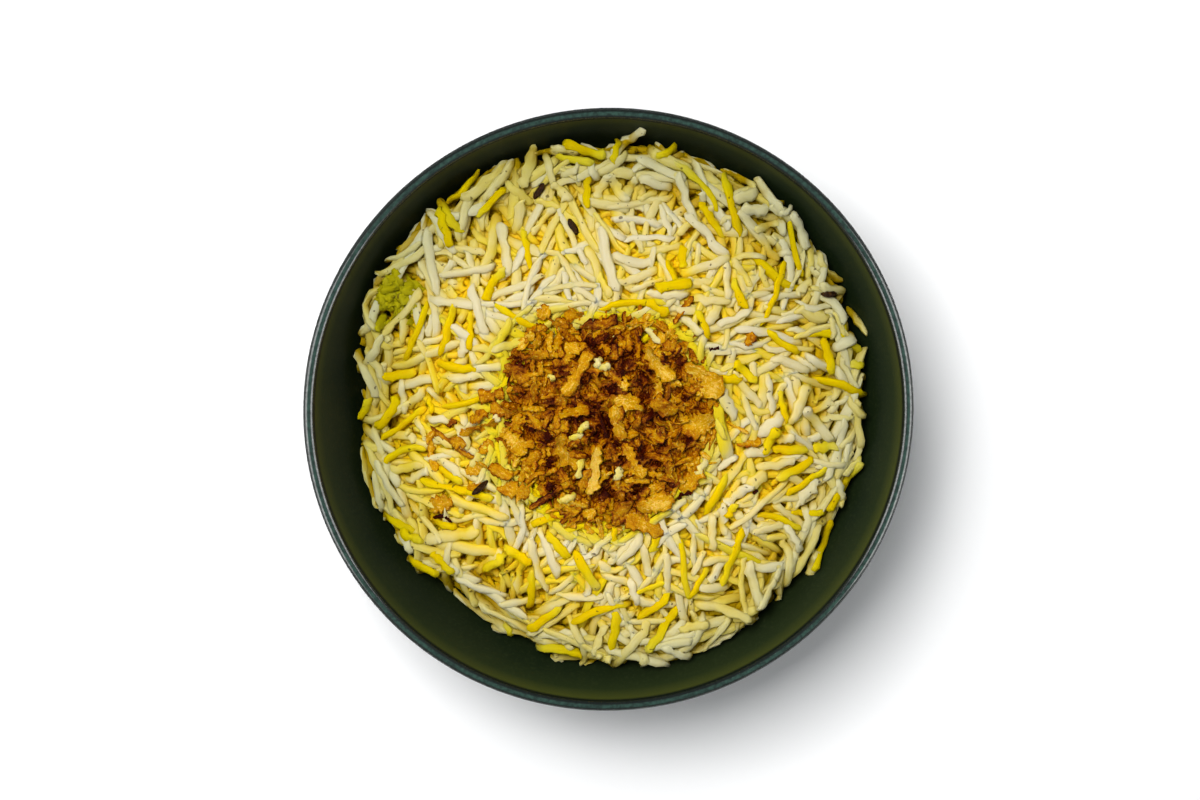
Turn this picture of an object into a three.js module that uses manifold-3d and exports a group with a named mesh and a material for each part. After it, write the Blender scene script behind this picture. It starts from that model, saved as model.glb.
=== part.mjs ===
// A bowl of pilaf: a dark round bowl, a heap of long-grain rice, and fried onion on its top.
// Millimetres, +Z up. The origin is the centre of the foot ring, on the table.
// +X is to the right of the picture and +Y is towards its top edge.
import * as THREE from "three";
import { mergeVertices } from "three/addons/utils/BufferGeometryUtils.js";
import Module from "manifold-3d";

const wasm = await Module();
wasm.setup();

// ---------------------------------------------------------------- driving dimensions
const bowlSize = {
  rimDiameter: 140,
  height: 58,
  lipWidth: 2.5, // the rounded edge, which is as wide as the wall is thick there
  lowerWall: 3.6, // wall thickness down by the foot
  floorRadius: 24, // the flat middle of the inside
  floorLevel: 7.5, // its height above the table
  footRadius: 33.5,
  footHeight: 4.4, // of its straight outer side
  footRingWidth: 4.2,
  footRecess: 3.5, // how far the underside is set back inside the foot ring
  segments: 56,
};

const heapSize = {
  edgeLevel: 41.5, // where the rice meets the wall
  rise: 18.5, // from that edge to the middle, without the grains on top
  fullness: 2.3, // the power of the dome's curve: 2 is a parabola, more is steeper at the edge
  wallGap: 0.45, // between rice and wall, so that the solids stay apart
  segments: 28,
};

const grainSize = {
  length: 13.5,
  width: 2.7,
  lengthSpread: 0.3, // share of the length, either way
  widthSpread: 0.14,
  bend: 1.5, // how far a curved grain's middle bows from its ends
  tilt: 0.13, // radians from the slope of the heap
  lowest: 0.2, // a grain's middle above the bare heap, from
  highest: 0.9, // to
  spacing: 1.7, // between the middle lines of two grains
  places: 280, // tried, spread evenly
};

const onionSize = {
  middle: [-2.0, -1.5], // over the heap
  radius: 25.4,
  depth: 3.4, // of the fused layer, without the crisp pieces that stand on it
  underGap: 0.5, // between the onion and the bare heap
  sideGap: 0.6, // between the onion and the grains round it
  segments: 22,
  pieces: 38,
  pieceLength: 8.5,
  pieceWidth: 3.4,
  pieceThickness: 1.0,
};

// Small things that lie on the rice: [x, y, heading in degrees, length, width, thickness].
const strayOnion = [
  [-38.2, -23.0, 20, 6.0, 4.2, 2.2],
  [31.8, -8.2, 8, 5.6, 2.6, 1.6],
  [32.6, 15.4, 60, 4.4, 2.6, 1.6],
  [-35.2, -10.4, 125, 8.5, 2.0, 1.4],
  [-39.6, -8.2, 70, 6.5, 1.9, 1.4],
  [24.6, 21.4, 40, 8.0, 1.4, 1.2],
];
const cuminSeeds = [
  [-15.8, 49.4, 68, 4.4, 1.5, 1.3],
  [-29.6, -18.0, 44, 4.6, 1.3, 1.2],
  [50.2, 25.8, 165, 4.0, 1.6, 1.3],
];

// ---------------------------------------------------------------- small helpers
// The same random numbers on every run, from 0 to 1.
function seededRandom(seed) {
  let state = seed >>> 0;
  return () => {
    state = (state + 0x6d2b79f5) >>> 0;
    let mixed = Math.imul(state ^ (state >>> 15), state | 1);
    mixed ^= mixed + Math.imul(mixed ^ (mixed >>> 7), mixed | 61);
    return ((mixed ^ (mixed >>> 14)) >>> 0) / 4294967296;
  };
}

const mix = (from, to, share) => from + (to - from) * share;

function bezier([p0, p1, p2, p3], t) {
  const s = 1 - t;
  return [0, 1].map((k) => s * s * s * p0[k] + 3 * s * s * t * p1[k] + 3 * s * t * t * p2[k] + t * t * t * p3[k]);
}

function toSolid(geometry) {
  const bare = new THREE.BufferGeometry();
  bare.setAttribute("position", geometry.getAttribute("position"));
  bare.setIndex(geometry.getIndex());
  const merged = mergeVertices(bare, 1e-4);
  const mesh = new wasm.Mesh({
    numProp: 3,
    vertProperties: merged.getAttribute("position").array,
    triVerts: new Uint32Array(merged.getIndex().array),
  });
  return new wasm.Manifold(mesh);
}

function toGeometry(solid) {
  const { vertProperties, triVerts } = solid.getMesh();
  const geometry = new THREE.BufferGeometry();
  geometry.setAttribute("position", new THREE.BufferAttribute(vertProperties, 3));
  geometry.setIndex(new THREE.BufferAttribute(triVerts, 1));
  geometry.computeVertexNormals();
  return geometry;
}

// Turns a profile of [radius, height] points round the Z axis.
function turned(profile, segments) {
  const points = profile.map(([radius, height]) => new THREE.Vector2(radius, height));
  return new THREE.LatheGeometry(points, segments).rotateX(Math.PI / 2);
}

// Moves each vertex of a geometry with a function of its place.
function reshape(geometry, move) {
  const position = geometry.getAttribute("position");
  const point = new THREE.Vector3();
  for (let i = 0; i < position.count; i += 1) {
    point.fromBufferAttribute(position, i);
    move(point);
    position.setXYZ(i, point.x, point.y, point.z);
  }
  return geometry;
}

// Fuses small solids onto a core. What fusing seals off or leaves loose is dropped.
function fused(core, pieces) {
  const whole = wasm.Manifold.union([core, ...pieces]).simplify(0.03);
  const largest = whole.decompose().reduce((a, b) => (a.volume() > b.volume() ? a : b));
  return largest;
}

// ---------------------------------------------------------------- the bowl
// The inside of the wall in section, from the flat floor to the lip, flaring as it rises.
const lipRadius = bowlSize.lipWidth / 2;
const innerWall = [
  [bowlSize.floorRadius, bowlSize.floorLevel],
  [44, 8.5],
  [59.5, 36],
  [bowlSize.rimDiameter / 2 - bowlSize.lipWidth, bowlSize.height - lipRadius],
];

// The outside of the wall, at the wall's thickness from the inside.
function outerWall(t) {
  const step = 1e-3;
  const [r0, z0] = bezier(innerWall, t - step);
  const [r1, z1] = bezier(innerWall, t + step);
  const slope = Math.atan2(z1 - z0, r1 - r0);
  const thickness = mix(bowlSize.lowerWall, bowlSize.lipWidth, t);
  const [r, z] = bezier(innerWall, t);
  return [r + Math.sin(slope) * thickness, z - Math.cos(slope) * thickness];
}

// The radius of the inside at a height above the table.
function wallRadius(height) {
  let low = 0;
  let high = 1;
  for (let i = 0; i < 30; i += 1) {
    const middle = (low + high) / 2;
    if (bezier(innerWall, middle)[1] < height) low = middle;
    else high = middle;
  }
  return bezier(innerWall, high)[0];
}

function bowlGeometry() {
  const { rimDiameter, height, footRadius, footHeight, footRingWidth, footRecess, floorLevel } = bowlSize;
  const outerSteps = 5;
  const innerSteps = 6;
  const lipSteps = 4;
  const footStart = 0.18; // where along the wall the foot ring leaves it
  const footChamfer = 0.8;
  const footFillet = 1.6;
  const recessSlope = 1.2; // how much narrower the recess is at its top
  const lipStart = 0.93; // where the wall's outside runs into the lip
  const profile = [
    [0, footRecess],
    [footRadius - footRingWidth - recessSlope, footRecess],
    [footRadius - footRingWidth, 0],
    [footRadius - footChamfer, 0],
    [footRadius, footChamfer],
    [footRadius, footHeight],
    [footRadius + footFillet * 0.4, footHeight + footFillet],
  ];
  for (let i = 0; i <= outerSteps; i += 1) {
    profile.push(outerWall(mix(footStart, lipStart, i / outerSteps)));
  }
  for (let i = 0; i <= lipSteps; i += 1) {
    const angle = (Math.PI * i) / lipSteps;
    const radius = rimDiameter / 2 - lipRadius + Math.cos(angle) * lipRadius;
    profile.push([radius, height - lipRadius + Math.sin(angle) * lipRadius]);
  }
  for (let i = 1; i <= innerSteps; i += 1) {
    profile.push(bezier(innerWall, 1 - i / innerSteps));
  }
  profile.push([0, floorLevel]);
  return turned(profile, bowlSize.segments);
}

// ---------------------------------------------------------------- the heap of rice
// How far out the heap reaches in each direction: close to the wall, and uneven.
function heapRadius(angle) {
  const uneven = 0.9 * Math.cos(2 * angle + 0.6) + 0.8 * Math.cos(3 * angle - 1.9) + 0.5 * Math.cos(7 * angle);
  return wallRadius(heapSize.edgeLevel) - heapSize.wallGap - 2.2 + uneven;
}

// Low hummocks on the heap, fading out at its edge.
function hummocks(x, y, reach) {
  const waves = 0.6 * Math.sin(x / 9 + 1) * Math.cos(y / 11 - 0.4) + 0.4 * Math.sin((x + y) / 8 + 2);
  return waves * (1 - reach ** 6);
}

// The height of the bare heap under the loose top grains.
function heapHeight(x, y) {
  const reach = Math.min(1, Math.hypot(x, y) / heapRadius(Math.atan2(y, x)));
  return heapSize.edgeLevel + heapSize.rise * (1 - reach ** heapSize.fullness) + hummocks(x, y, reach);
}

function heapNormal(x, y) {
  const step = 0.5;
  const slopeX = (heapHeight(x + step, y) - heapHeight(x - step, y)) / (2 * step);
  const slopeY = (heapHeight(x, y + step) - heapHeight(x, y - step)) / (2 * step);
  return new THREE.Vector3(-slopeX, -slopeY, 1).normalize();
}

// The body of the heap: it fills the bowl up to the edge level and domes over above it.
function heapCore() {
  const { edgeLevel, wallGap, segments } = heapSize;
  const floorGap = bowlSize.floorLevel + wallGap;
  const shares = [0.94, 0.83, 0.68, 0.5, 0.3];
  const profile = [[0, floorGap], [bowlSize.floorRadius - 1, floorGap]];
  for (const level of [11.5, 18, 27, 35]) {
    profile.push([wallRadius(level) - wallGap * 1.4, level]);
  }
  profile.push([1, edgeLevel]);
  for (const share of shares) {
    profile.push([share, edgeLevel + 1]);
  }
  profile.push([0, edgeLevel + 1]);
  return reshape(turned(profile, segments), (point) => {
    if (point.z < edgeLevel - 0.5) return;
    const angle = Math.atan2(point.y, point.x);
    const radius = heapRadius(angle);
    point.x *= radius;
    point.y *= radius;
    point.z = heapHeight(point.x, point.y);
  });
}

// ---------------------------------------------------------------- small pieces
// A place on the heap: a matrix whose X runs along the piece and whose Z leaves the heap.
function lyingOn(x, y, heading, lift, lean = 0) {
  const up = heapNormal(x, y);
  const along = new THREE.Vector3(Math.cos(heading), Math.sin(heading), 0);
  along.addScaledVector(up, -along.dot(up)).normalize();
  const side = new THREE.Vector3().crossVectors(up, along);
  const matrix = new THREE.Matrix4().makeBasis(along, side, up);
  matrix.multiply(new THREE.Matrix4().makeRotationY(lean));
  const place = new THREE.Vector3(x, y, heapHeight(x, y)).addScaledVector(up, lift);
  return matrix.setPosition(place);
}

// A long grain with four sides and blunt, rounded ends, bowed in its own plane.
function grainGeometry(length, width, bend) {
  const ball = new THREE.SphereGeometry(1, 4, 4).rotateZ(Math.PI / 2);
  return reshape(ball, (point) => {
    const along = Math.sign(point.x) * Math.abs(point.x) ** 1.25;
    const isRing = Math.abs(point.x) < 0.99;
    const fullness = isRing ? 1 / Math.hypot(point.y, point.z) : 0;
    const taper = 1 - 0.22 * Math.abs(along);
    point.x = (along * length) / 2;
    point.y = point.y * fullness * taper * (width / 2) + bend * (1 - along * along);
    point.z = point.z * fullness * taper * (width / 2);
  });
}

// Points along the middle of a grain in its place.
function middleLine(place, length, bend) {
  return [-0.9, -0.6, -0.3, 0, 0.3, 0.6, 0.9].map((along) => {
    const point = new THREE.Vector3((along * length) / 2, bend * (1 - along * along), 0);
    return point.applyMatrix4(place);
  });
}

// A crisp shred of fried onion: a thin strip with ragged edges that buckles up and down.
function shredGeometry(length, width, thickness, random) {
  const stations = 3;
  const strip = new THREE.BoxGeometry(1, 1, 1, stations, 1, 1);
  const rows = Array.from({ length: stations + 1 }, () => ({
    width: mix(0.55, 1.15, random()),
    shift: mix(-0.25, 0.25, random()),
    lift: mix(-1, 1, random()),
  }));
  return reshape(strip, (point) => {
    const row = rows[Math.round((point.x + 0.5) * stations)];
    point.x *= length;
    point.y = (point.y * row.width + row.shift) * width;
    point.z = point.z * thickness + row.lift * thickness * 0.8;
  });
}

// Lays pieces on the heap one by one, and keeps those that stay clear of what is round them.
function lay(geometry, matrix, isFree) {
  const placed = geometry.clone().applyMatrix4(matrix);
  const position = placed.getAttribute("position");
  const point = new THREE.Vector3();
  for (let i = 0; i < position.count; i += 1) {
    point.fromBufferAttribute(position, i);
    if (!isFree(point)) return null;
  }
  return toSolid(placed);
}

// ---------------------------------------------------------------- the fried onion's outline
function onionRadius(angle) {
  const lobes = 1.5 * Math.cos(angle - 0.5) + 1.2 * Math.cos(3 * angle - 0.9) + 0.9 * Math.cos(5 * angle + 1.2);
  return onionSize.radius + lobes;
}

// Distance in from the onion's edge, which is negative outside it.
function insideOnion(x, y) {
  const [middleX, middleY] = onionSize.middle;
  const angle = Math.atan2(y - middleY, x - middleX);
  return onionRadius(angle) - Math.hypot(x - middleX, y - middleY);
}

function clearOfWall(point) {
  return Math.hypot(point.x, point.y) < wallRadius(point.z) - heapSize.wallGap;
}

function riceSolid() {
  const random = seededRandom(11);
  const isFree = (point) => clearOfWall(point) && insideOnion(point.x, point.y) < -onionSize.sideGap;
  const goldenAngle = Math.PI * (3 - Math.sqrt(5));
  const pieces = [];
  const taken = [];
  for (let i = 0; i < grainSize.places; i += 1) {
    const angle = i * goldenAngle;
    const share = Math.sqrt((i + 0.5) / grainSize.places);
    const heading = random() * Math.PI * 2;
    const length = grainSize.length * (1 + mix(-1, 1, random()) * grainSize.lengthSpread);
    const width = grainSize.width * (1 + mix(-1, 1, random()) * grainSize.widthSpread);
    const bend = mix(-1, 1, random()) * grainSize.bend;
    const lift = mix(grainSize.lowest, grainSize.highest, random());
    const lean = mix(-1, 1, random()) * grainSize.tilt;
    // A grain that would cross the wall, the onion or another grain is turned, moved in, or shortened.
    for (let attempt = 0; attempt < 8; attempt += 1) {
      const reach = heapRadius(angle) * share * (1 - 0.01 * attempt);
      const turn = heading + attempt * 0.45;
      const shorter = length * (1 - 0.05 * attempt);
      const place = lyingOn(Math.cos(angle) * reach, Math.sin(angle) * reach, turn, lift, lean);
      const line = middleLine(place, shorter, bend);
      const isCrowded = line.some((a) => taken.some((b) => a.distanceTo(b) < grainSize.spacing));
      const solid = isCrowded ? null : lay(grainGeometry(shorter, width, bend), place, isFree);
      if (solid) {
        pieces.push(solid);
        taken.push(...line);
        break;
      }
    }
  }
  for (const [x, y, degrees, length, width, thickness] of strayOnion) {
    const place = lyingOn(x, y, THREE.MathUtils.degToRad(degrees), 1.5);
    pieces.push(toSolid(shredGeometry(length, width, thickness, random).applyMatrix4(place)));
  }
  for (const [x, y, degrees, length, width] of cuminSeeds) {
    const place = lyingOn(x, y, THREE.MathUtils.degToRad(degrees), 1.4);
    pieces.push(toSolid(grainGeometry(length, width, 0.2).applyMatrix4(place)));
  }
  return fused(toSolid(heapCore()), pieces);
}

// ---------------------------------------------------------------- the fried onion
function onionTop(x, y, share) {
  const crags = 0.5 * Math.sin(x / 2.9) * Math.sin(y / 3.3 + 1) + 0.4 * Math.sin((x - y) / 4.1);
  return onionSize.depth * Math.sqrt(1 - 0.75 * share ** 3) + crags * (1 - share ** 4);
}

// The matted layer under the crisp pieces. Its underside follows the heap.
function onionCore() {
  const [middleX, middleY] = onionSize.middle;
  const rings = [0.42, 0.74, 1];
  const profile = [[0, 0], ...rings.map((share) => [share, 0])];
  profile.push([0.985, 1], ...rings.slice(0, -1).reverse().map((share) => [share, 1]), [0, 1]);
  return reshape(turned(profile, onionSize.segments), (point) => {
    const share = Math.hypot(point.x, point.y);
    const radius = share * onionRadius(Math.atan2(point.y, point.x));
    const isTop = point.z > 0.5;
    const scale = share > 0 ? radius / share : 0;
    point.x = middleX + point.x * scale;
    point.y = middleY + point.y * scale;
    const under = heapHeight(point.x, point.y) + onionSize.underGap;
    point.z = under + (isTop ? onionTop(point.x, point.y, share) : 0);
  });
}

function onionSolid() {
  const random = seededRandom(29);
  const isFree = (point) => {
    const isOverHeap = point.z > heapHeight(point.x, point.y) + onionSize.underGap;
    return isOverHeap && insideOnion(point.x, point.y) > 0.1;
  };
  const [middleX, middleY] = onionSize.middle;
  const goldenAngle = Math.PI * (3 - Math.sqrt(5));
  const pieces = [];
  for (let i = 0; i < onionSize.pieces; i += 1) {
    const angle = i * goldenAngle;
    const share = Math.sqrt((i + 0.5) / onionSize.pieces) * 0.93;
    const x = middleX + Math.cos(angle) * share * onionRadius(angle);
    const y = middleY + Math.sin(angle) * share * onionRadius(angle);
    const heading = random() * Math.PI * 2;
    const length = onionSize.pieceLength * mix(0.6, 1.35, random());
    const width = onionSize.pieceWidth * mix(0.55, 1.25, random());
    const lift = onionSize.underGap + onionTop(x, y, share) + mix(-0.1, 0.8, random());
    const lean = mix(-0.45, 0.45, random());
    for (let attempt = 0; attempt < 5; attempt += 1) {
      const shred = shredGeometry(length * (1 - 0.12 * attempt), width, onionSize.pieceThickness, random);
      const solid = lay(shred, lyingOn(x, y, heading + attempt * 0.7, lift, lean), isFree);
      if (solid) {
        pieces.push(solid);
        break;
      }
    }
  }
  return fused(toSolid(onionCore()), pieces);
}

// ---------------------------------------------------------------- the whole
function named(name, geometry, colour, roughness) {
  const material = new THREE.MeshStandardMaterial({ color: colour, roughness, metalness: 0 });
  const mesh = new THREE.Mesh(geometry, material);
  mesh.name = name;
  return mesh;
}

const contents = new THREE.Group();
contents.add(named("pilaf_rice", toGeometry(riceSolid()), 0xe9e2b4, 0.55));
contents.add(named("fried_onion", toGeometry(onionSolid()), 0x9a5a14, 0.45));

const bowlOfPilaf = new THREE.Group();
bowlOfPilaf.add(named("bowl", bowlGeometry(), 0x1d241a, 0.4));
bowlOfPilaf.add(contents);

export default bowlOfPilaf;
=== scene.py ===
import math

import bmesh
import bpy
import numpy as np
from mathutils import Matrix, Vector, noise


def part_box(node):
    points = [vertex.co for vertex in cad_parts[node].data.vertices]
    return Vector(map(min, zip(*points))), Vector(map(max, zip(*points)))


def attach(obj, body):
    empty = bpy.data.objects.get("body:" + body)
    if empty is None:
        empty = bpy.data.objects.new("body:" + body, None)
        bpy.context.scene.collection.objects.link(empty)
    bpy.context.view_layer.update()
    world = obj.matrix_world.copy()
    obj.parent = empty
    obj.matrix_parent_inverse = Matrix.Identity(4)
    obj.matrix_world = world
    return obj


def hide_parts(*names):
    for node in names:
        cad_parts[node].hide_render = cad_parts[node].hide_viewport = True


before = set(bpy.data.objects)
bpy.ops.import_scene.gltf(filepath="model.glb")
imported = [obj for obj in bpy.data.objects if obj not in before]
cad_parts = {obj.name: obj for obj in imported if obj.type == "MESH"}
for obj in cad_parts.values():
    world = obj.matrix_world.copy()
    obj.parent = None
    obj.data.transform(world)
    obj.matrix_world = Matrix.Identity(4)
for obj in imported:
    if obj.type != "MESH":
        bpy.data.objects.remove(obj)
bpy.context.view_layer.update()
mm = 0.001


# Screen colours, 0 to 255, as the linear ones that the shaders take.
def screen(red, green, blue):
    def linear(value):
        value = value / 255
        return value / 12.92 if value <= 0.04045 else ((value + 0.055) / 1.055) ** 2.4

    return (linear(red), linear(green), linear(blue), 1.0)


class Signal:
    # An output of a node that can be used like a number in an expression.
    def __init__(self, finish, socket):
        self.finish = finish
        self.socket = socket

    def maths(self, operation, first, second):
        return self.finish.node("Math", {"operation": operation}, {0: first, 1: second})

    def __add__(self, other):
        return self.maths("ADD", self, other)

    __radd__ = __add__

    def __sub__(self, other):
        return self.maths("SUBTRACT", self, other)

    def __rsub__(self, other):
        return self.maths("SUBTRACT", other, self)

    def __mul__(self, other):
        return self.maths("MULTIPLY", self, other)

    __rmul__ = __mul__

    def __pow__(self, other):
        return self.maths("POWER", self, other)

    def between(self, low, high):
        # 0 up to low, 1 from high, and straight in between
        return self.finish.node("MapRange", {}, {"Value": self, "From Min": low, "From Max": high})


class Finish:
    # A material, and the ways to add nodes to it.
    def __init__(self, name, constants):
        self.material = bpy.data.materials.new(name)
        self.material.use_nodes = True
        self.tree = self.material.node_tree
        self.shader = self.tree.nodes["Principled BSDF"]
        for socket, value in constants.items():
            self.shader.inputs[socket].default_value = value

    def connect(self, node, name, value):
        byName = isinstance(name, str)
        socket = next(s for s in node.inputs if s.identifier == name) if byName else node.inputs[name]
        if isinstance(value, Signal):
            self.tree.links.new(value.socket, socket)
        else:
            socket.default_value = value

    def node(self, kind, settings, sockets, output=0):
        made = self.tree.nodes.new("ShaderNode" + kind)
        for name, value in settings.items():
            if name == "stops":
                self.fillRamp(made.color_ramp, value)
            else:
                setattr(made, name, value)
        for name, value in sockets.items():
            self.connect(made, name, value)
        return Signal(self, made.outputs[output])

    def fillRamp(self, ramp, stops):
        while len(ramp.elements) < len(stops):
            ramp.elements.new(0.5)
        for element, (position, colour) in zip(ramp.elements, stops):
            element.position = position
            element.color = colour

    def attribute(self, name):
        return self.node("Attribute", {"attribute_name": name}, {}, "Fac")

    def place(self):
        return self.node("TexCoord", {}, {}, "Object")

    def grainy(self, place, scale, detail=2.0, roughness=0.5):
        sockets = {"Vector": place, "Scale": scale, "Detail": detail, "Roughness": roughness}
        return self.node("TexNoise", {}, sockets)

    def ramp(self, factor, stops):
        return self.node("ValToRGB", {"stops": stops}, {"Fac": factor})

    def blend(self, factor, first, second, how="MIX"):
        sockets = {"Factor_Float": factor, "A_Color": first, "B_Color": second}
        return self.node("Mix", {"data_type": "RGBA", "blend_type": how}, sockets, 2)

    def bump(self, height, distance, strength=1.0):
        sockets = {"Height": height, "Distance": distance, "Strength": strength}
        return self.node("Bump", {}, sockets)

    def wear(self, sockets):
        for name, value in sockets.items():
            self.connect(self.shader, name, value)
        return self.material


def objectFrom(name, mesh, material, smooth=True):
    piece = bpy.data.objects.new(name, mesh)
    bpy.context.scene.collection.objects.link(piece)
    mesh.materials.append(material)
    mesh.shade_smooth() if smooth else mesh.shade_flat()
    return piece


def meshFromShape(name, shape):
    mesh = bpy.data.meshes.new(name)
    shape.to_mesh(mesh)
    shape.free()
    return mesh


# Turns a profile of (radius, height) points round the bowl's axis.
def spun(profile, steps):
    shape = bmesh.new()
    line = [shape.verts.new((radius * mm, 0, height * mm)) for radius, height in profile]
    edges = [shape.edges.new(pair) for pair in zip(line, line[1:])]
    bmesh.ops.spin(
        shape, geom=line + edges, axis=(0, 0, 1), cent=(0, 0, 0), steps=steps, angle=math.tau, use_merge=True
    )
    bmesh.ops.remove_doubles(shape, verts=shape.verts, dist=1e-6)
    bmesh.ops.recalc_face_normals(shape, faces=shape.faces)
    return shape


def setValues(mesh, name, values):
    attribute = mesh.attributes.new(name, "FLOAT", "POINT")
    attribute.data.foreach_set("value", np.asarray(values, np.float32))


cameraPlan = {
    "lens": 85.0,  # on a sensor 36 mm wide
    "sensor": 36.0,
    "distance": 647.5,
    "lean": (-0.0421, 0.160),  # towards the left and the top of the picture, for each mm up
    "middle": (-2.3, 3.5),  # where the picture's centre falls at the level of the rim
    "width": 1200,  # the photograph in pixels
    "height": 800,
    "rounds": 4,  # in which the spot on the heap that a pixel shows is found
}
pixelsPerMm = cameraPlan["lens"] / cameraPlan["sensor"] * cameraPlan["width"] / cameraPlan["distance"]


def cameraAxes():
    leanX, leanY = cameraPlan["lean"]
    back = Vector((leanX, leanY, 1)).normalized()
    right = (Vector((1, 0, 0)) - back * back.x).normalized()
    return right, back.cross(right), back


# The spot in mm that a pixel of the photograph shows at a level, or on the bare heap.
def spotAt(pixelX, pixelY, level=None):
    right, up, back = cameraAxes()
    step = cameraPlan["sensor"] / cameraPlan["lens"] / cameraPlan["width"]
    ray = right * (pixelX - cameraPlan["width"] / 2) * step
    ray += up * (cameraPlan["height"] / 2 - pixelY) * step - back
    eye = cameraMiddle + back * cameraPlan["distance"]
    spot = eye + ray * ((eye.z - (level or bowlPlan["height"])) / -ray.z)
    for _ in range(0 if level else cameraPlan["rounds"]):
        top = float(heapTop(spot.x, spot.y)) + heapPlan["grainsOver"]
        spot = eye + ray * ((eye.z - top) / -ray.z)
    return spot.x, spot.y


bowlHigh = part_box("bowl")[1]
bowlPlan = {
    "rimRadius": bowlHigh.x / mm,
    "height": bowlHigh.z / mm,
    "lipWidth": 2.5,
    "lowerWall": 3.6,
    "floorRadius": 24.0,
    "floorLevel": 7.5,
    "footRadius": 33.5,
    "footRingWidth": 4.2,
    "footRecess": 3.5,
    "recessSlope": 1.2,
    "edgeRound": 0.8,
    "steps": 200,
}
cameraMiddle = Vector((*cameraPlan["middle"], bowlPlan["height"]))
lipRadius = bowlPlan["lipWidth"] / 2
innerWall = [
    (bowlPlan["floorRadius"], bowlPlan["floorLevel"]),
    (44.0, 8.5),
    (59.5, 36.0),
    (bowlPlan["rimRadius"] - bowlPlan["lipWidth"], bowlPlan["height"] - lipRadius),
]


def wallPoint(t):
    weights = ((1 - t) ** 3, 3 * (1 - t) ** 2 * t, 3 * (1 - t) * t**2, t**3)
    return [sum(w * point[k] for w, point in zip(weights, innerWall)) for k in (0, 1)]


wallCurve = np.array([wallPoint(t) for t in np.linspace(0, 1, 300)])


def wallRadius(height):
    return np.interp(height, wallCurve[:, 1], wallCurve[:, 0])


def wallHeight(radius):
    return np.interp(radius, wallCurve[:, 0], wallCurve[:, 1])


def outerPoint(t):
    step = 1e-3
    r0, z0 = wallPoint(t - step)
    r1, z1 = wallPoint(t + step)
    slope = math.atan2(z1 - z0, r1 - r0)
    thickness = bowlPlan["lowerWall"] + (bowlPlan["lipWidth"] - bowlPlan["lowerWall"]) * t
    radius, height = wallPoint(t)
    return radius + math.sin(slope) * thickness, height - math.cos(slope) * thickness


def arc(radius, height, size, start, end, steps):
    angles = np.radians(np.linspace(start, end, steps + 1))
    return [(radius + math.cos(a) * size, height + math.sin(a) * size) for a in angles]


def bowlProfile():
    foot = bowlPlan["footRadius"]
    inside = foot - bowlPlan["footRingWidth"]
    recess = bowlPlan["footRecess"]
    edge = bowlPlan["edgeRound"]
    rim = (bowlPlan["rimRadius"] - lipRadius, bowlPlan["height"] - lipRadius)
    profile = [(0, recess), (inside - bowlPlan["recessSlope"] - 0.8, recess)]
    profile += [(inside - bowlPlan["recessSlope"], recess - 0.3), (inside - 0.3, 0.35), (inside + 0.2, 0)]
    profile += arc(foot - edge, edge, edge, -90, 0, 4)
    profile += [(foot, 2.4), (foot + 0.05, 3.9), (foot + 0.35, 5.0), (foot + 0.95, 6.0)]
    profile += [outerPoint(t) for t in np.linspace(0.19, 0.95, 26)]
    profile += arc(*rim, lipRadius, 0, 180, 12)
    profile += [wallPoint(t) for t in np.linspace(0.985, 0, 34)]
    profile += [(radius, bowlPlan["floorLevel"]) for radius in (18, 9, 0)]
    return profile


def bowlFinish():
    constants = {
        "Specular IOR Level": 0.1,
        "Coat Roughness": 0.17,
        "Coat IOR": 1.5,
        "Coat Tint": (0.84, 1.0, 0.86, 1),
    }
    finish = Finish("darkGlaze", constants)
    top = bowlPlan["height"]
    place = finish.place()
    height = finish.node("SeparateXYZ", {}, {"Vector": place}, 2) * 1000
    cloud = finish.grainy(place, 38, 3)
    speckle = finish.grainy(place, 1300, 2, 0.6)
    pits = finish.grainy(place, 3400, 1)
    # Painted light by height on the inner wall: painted shade low down, a lighter olive band under the lip as
    # a painted reflection of the rice, and a dark lip.
    paintedWallLight = [
        (0.0, screen(15, 25, 12)),
        (0.55, screen(21, 32, 15)),
        (0.8, screen(31, 42, 19)),
        (0.96, screen(60, 66, 24)),
        (1.0, screen(9, 18, 13)),
    ]
    body = finish.ramp(height.between(top - 22, top - 1), paintedWallLight)
    body = finish.blend(cloud.between(0.35, 0.7) * 0.25, body, screen(42, 48, 20))
    body = finish.blend(speckle.between(0.5, 0.75) * 0.25, body, screen(52, 60, 34))
    # Painted shade: the flanks of the lip are painted near black-green.
    lipFlankShade = height.between(top - 1.5, top - 0.9)
    # A painted teal highlight along the crest of the lip, broken up by the speckle.
    crestHighlight = height.between(top - 0.14, top - 0.02)
    body = finish.blend(lipFlankShade, body, screen(5, 15, 13))
    body = finish.blend(crestHighlight * (0.3 + speckle.between(0.35, 0.65) * 0.7), body, screen(44, 69, 64))
    rough = 0.5 + cloud * 0.12 + speckle * 0.1
    gloss = height.between(top - 0.75, top - 0.45) * (0.5 + speckle.between(0.3, 0.7) * 0.5)
    hollows = finish.bump(speckle * 0.6 + pits * 0.4, 0.00012, 0.6)
    return finish.wear({"Base Color": body, "Roughness": rough, "Coat Weight": gloss, "Normal": hollows})


def makeBowl():
    shape = spun(bowlProfile(), bowlPlan["steps"])
    piece = objectFrom("glazed_bowl", meshFromShape("glazed_bowl", shape), bowlFinish())
    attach(piece, "root")
    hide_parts("bowl")
    print("bowl:", len(piece.data.polygons), "faces")


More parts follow.
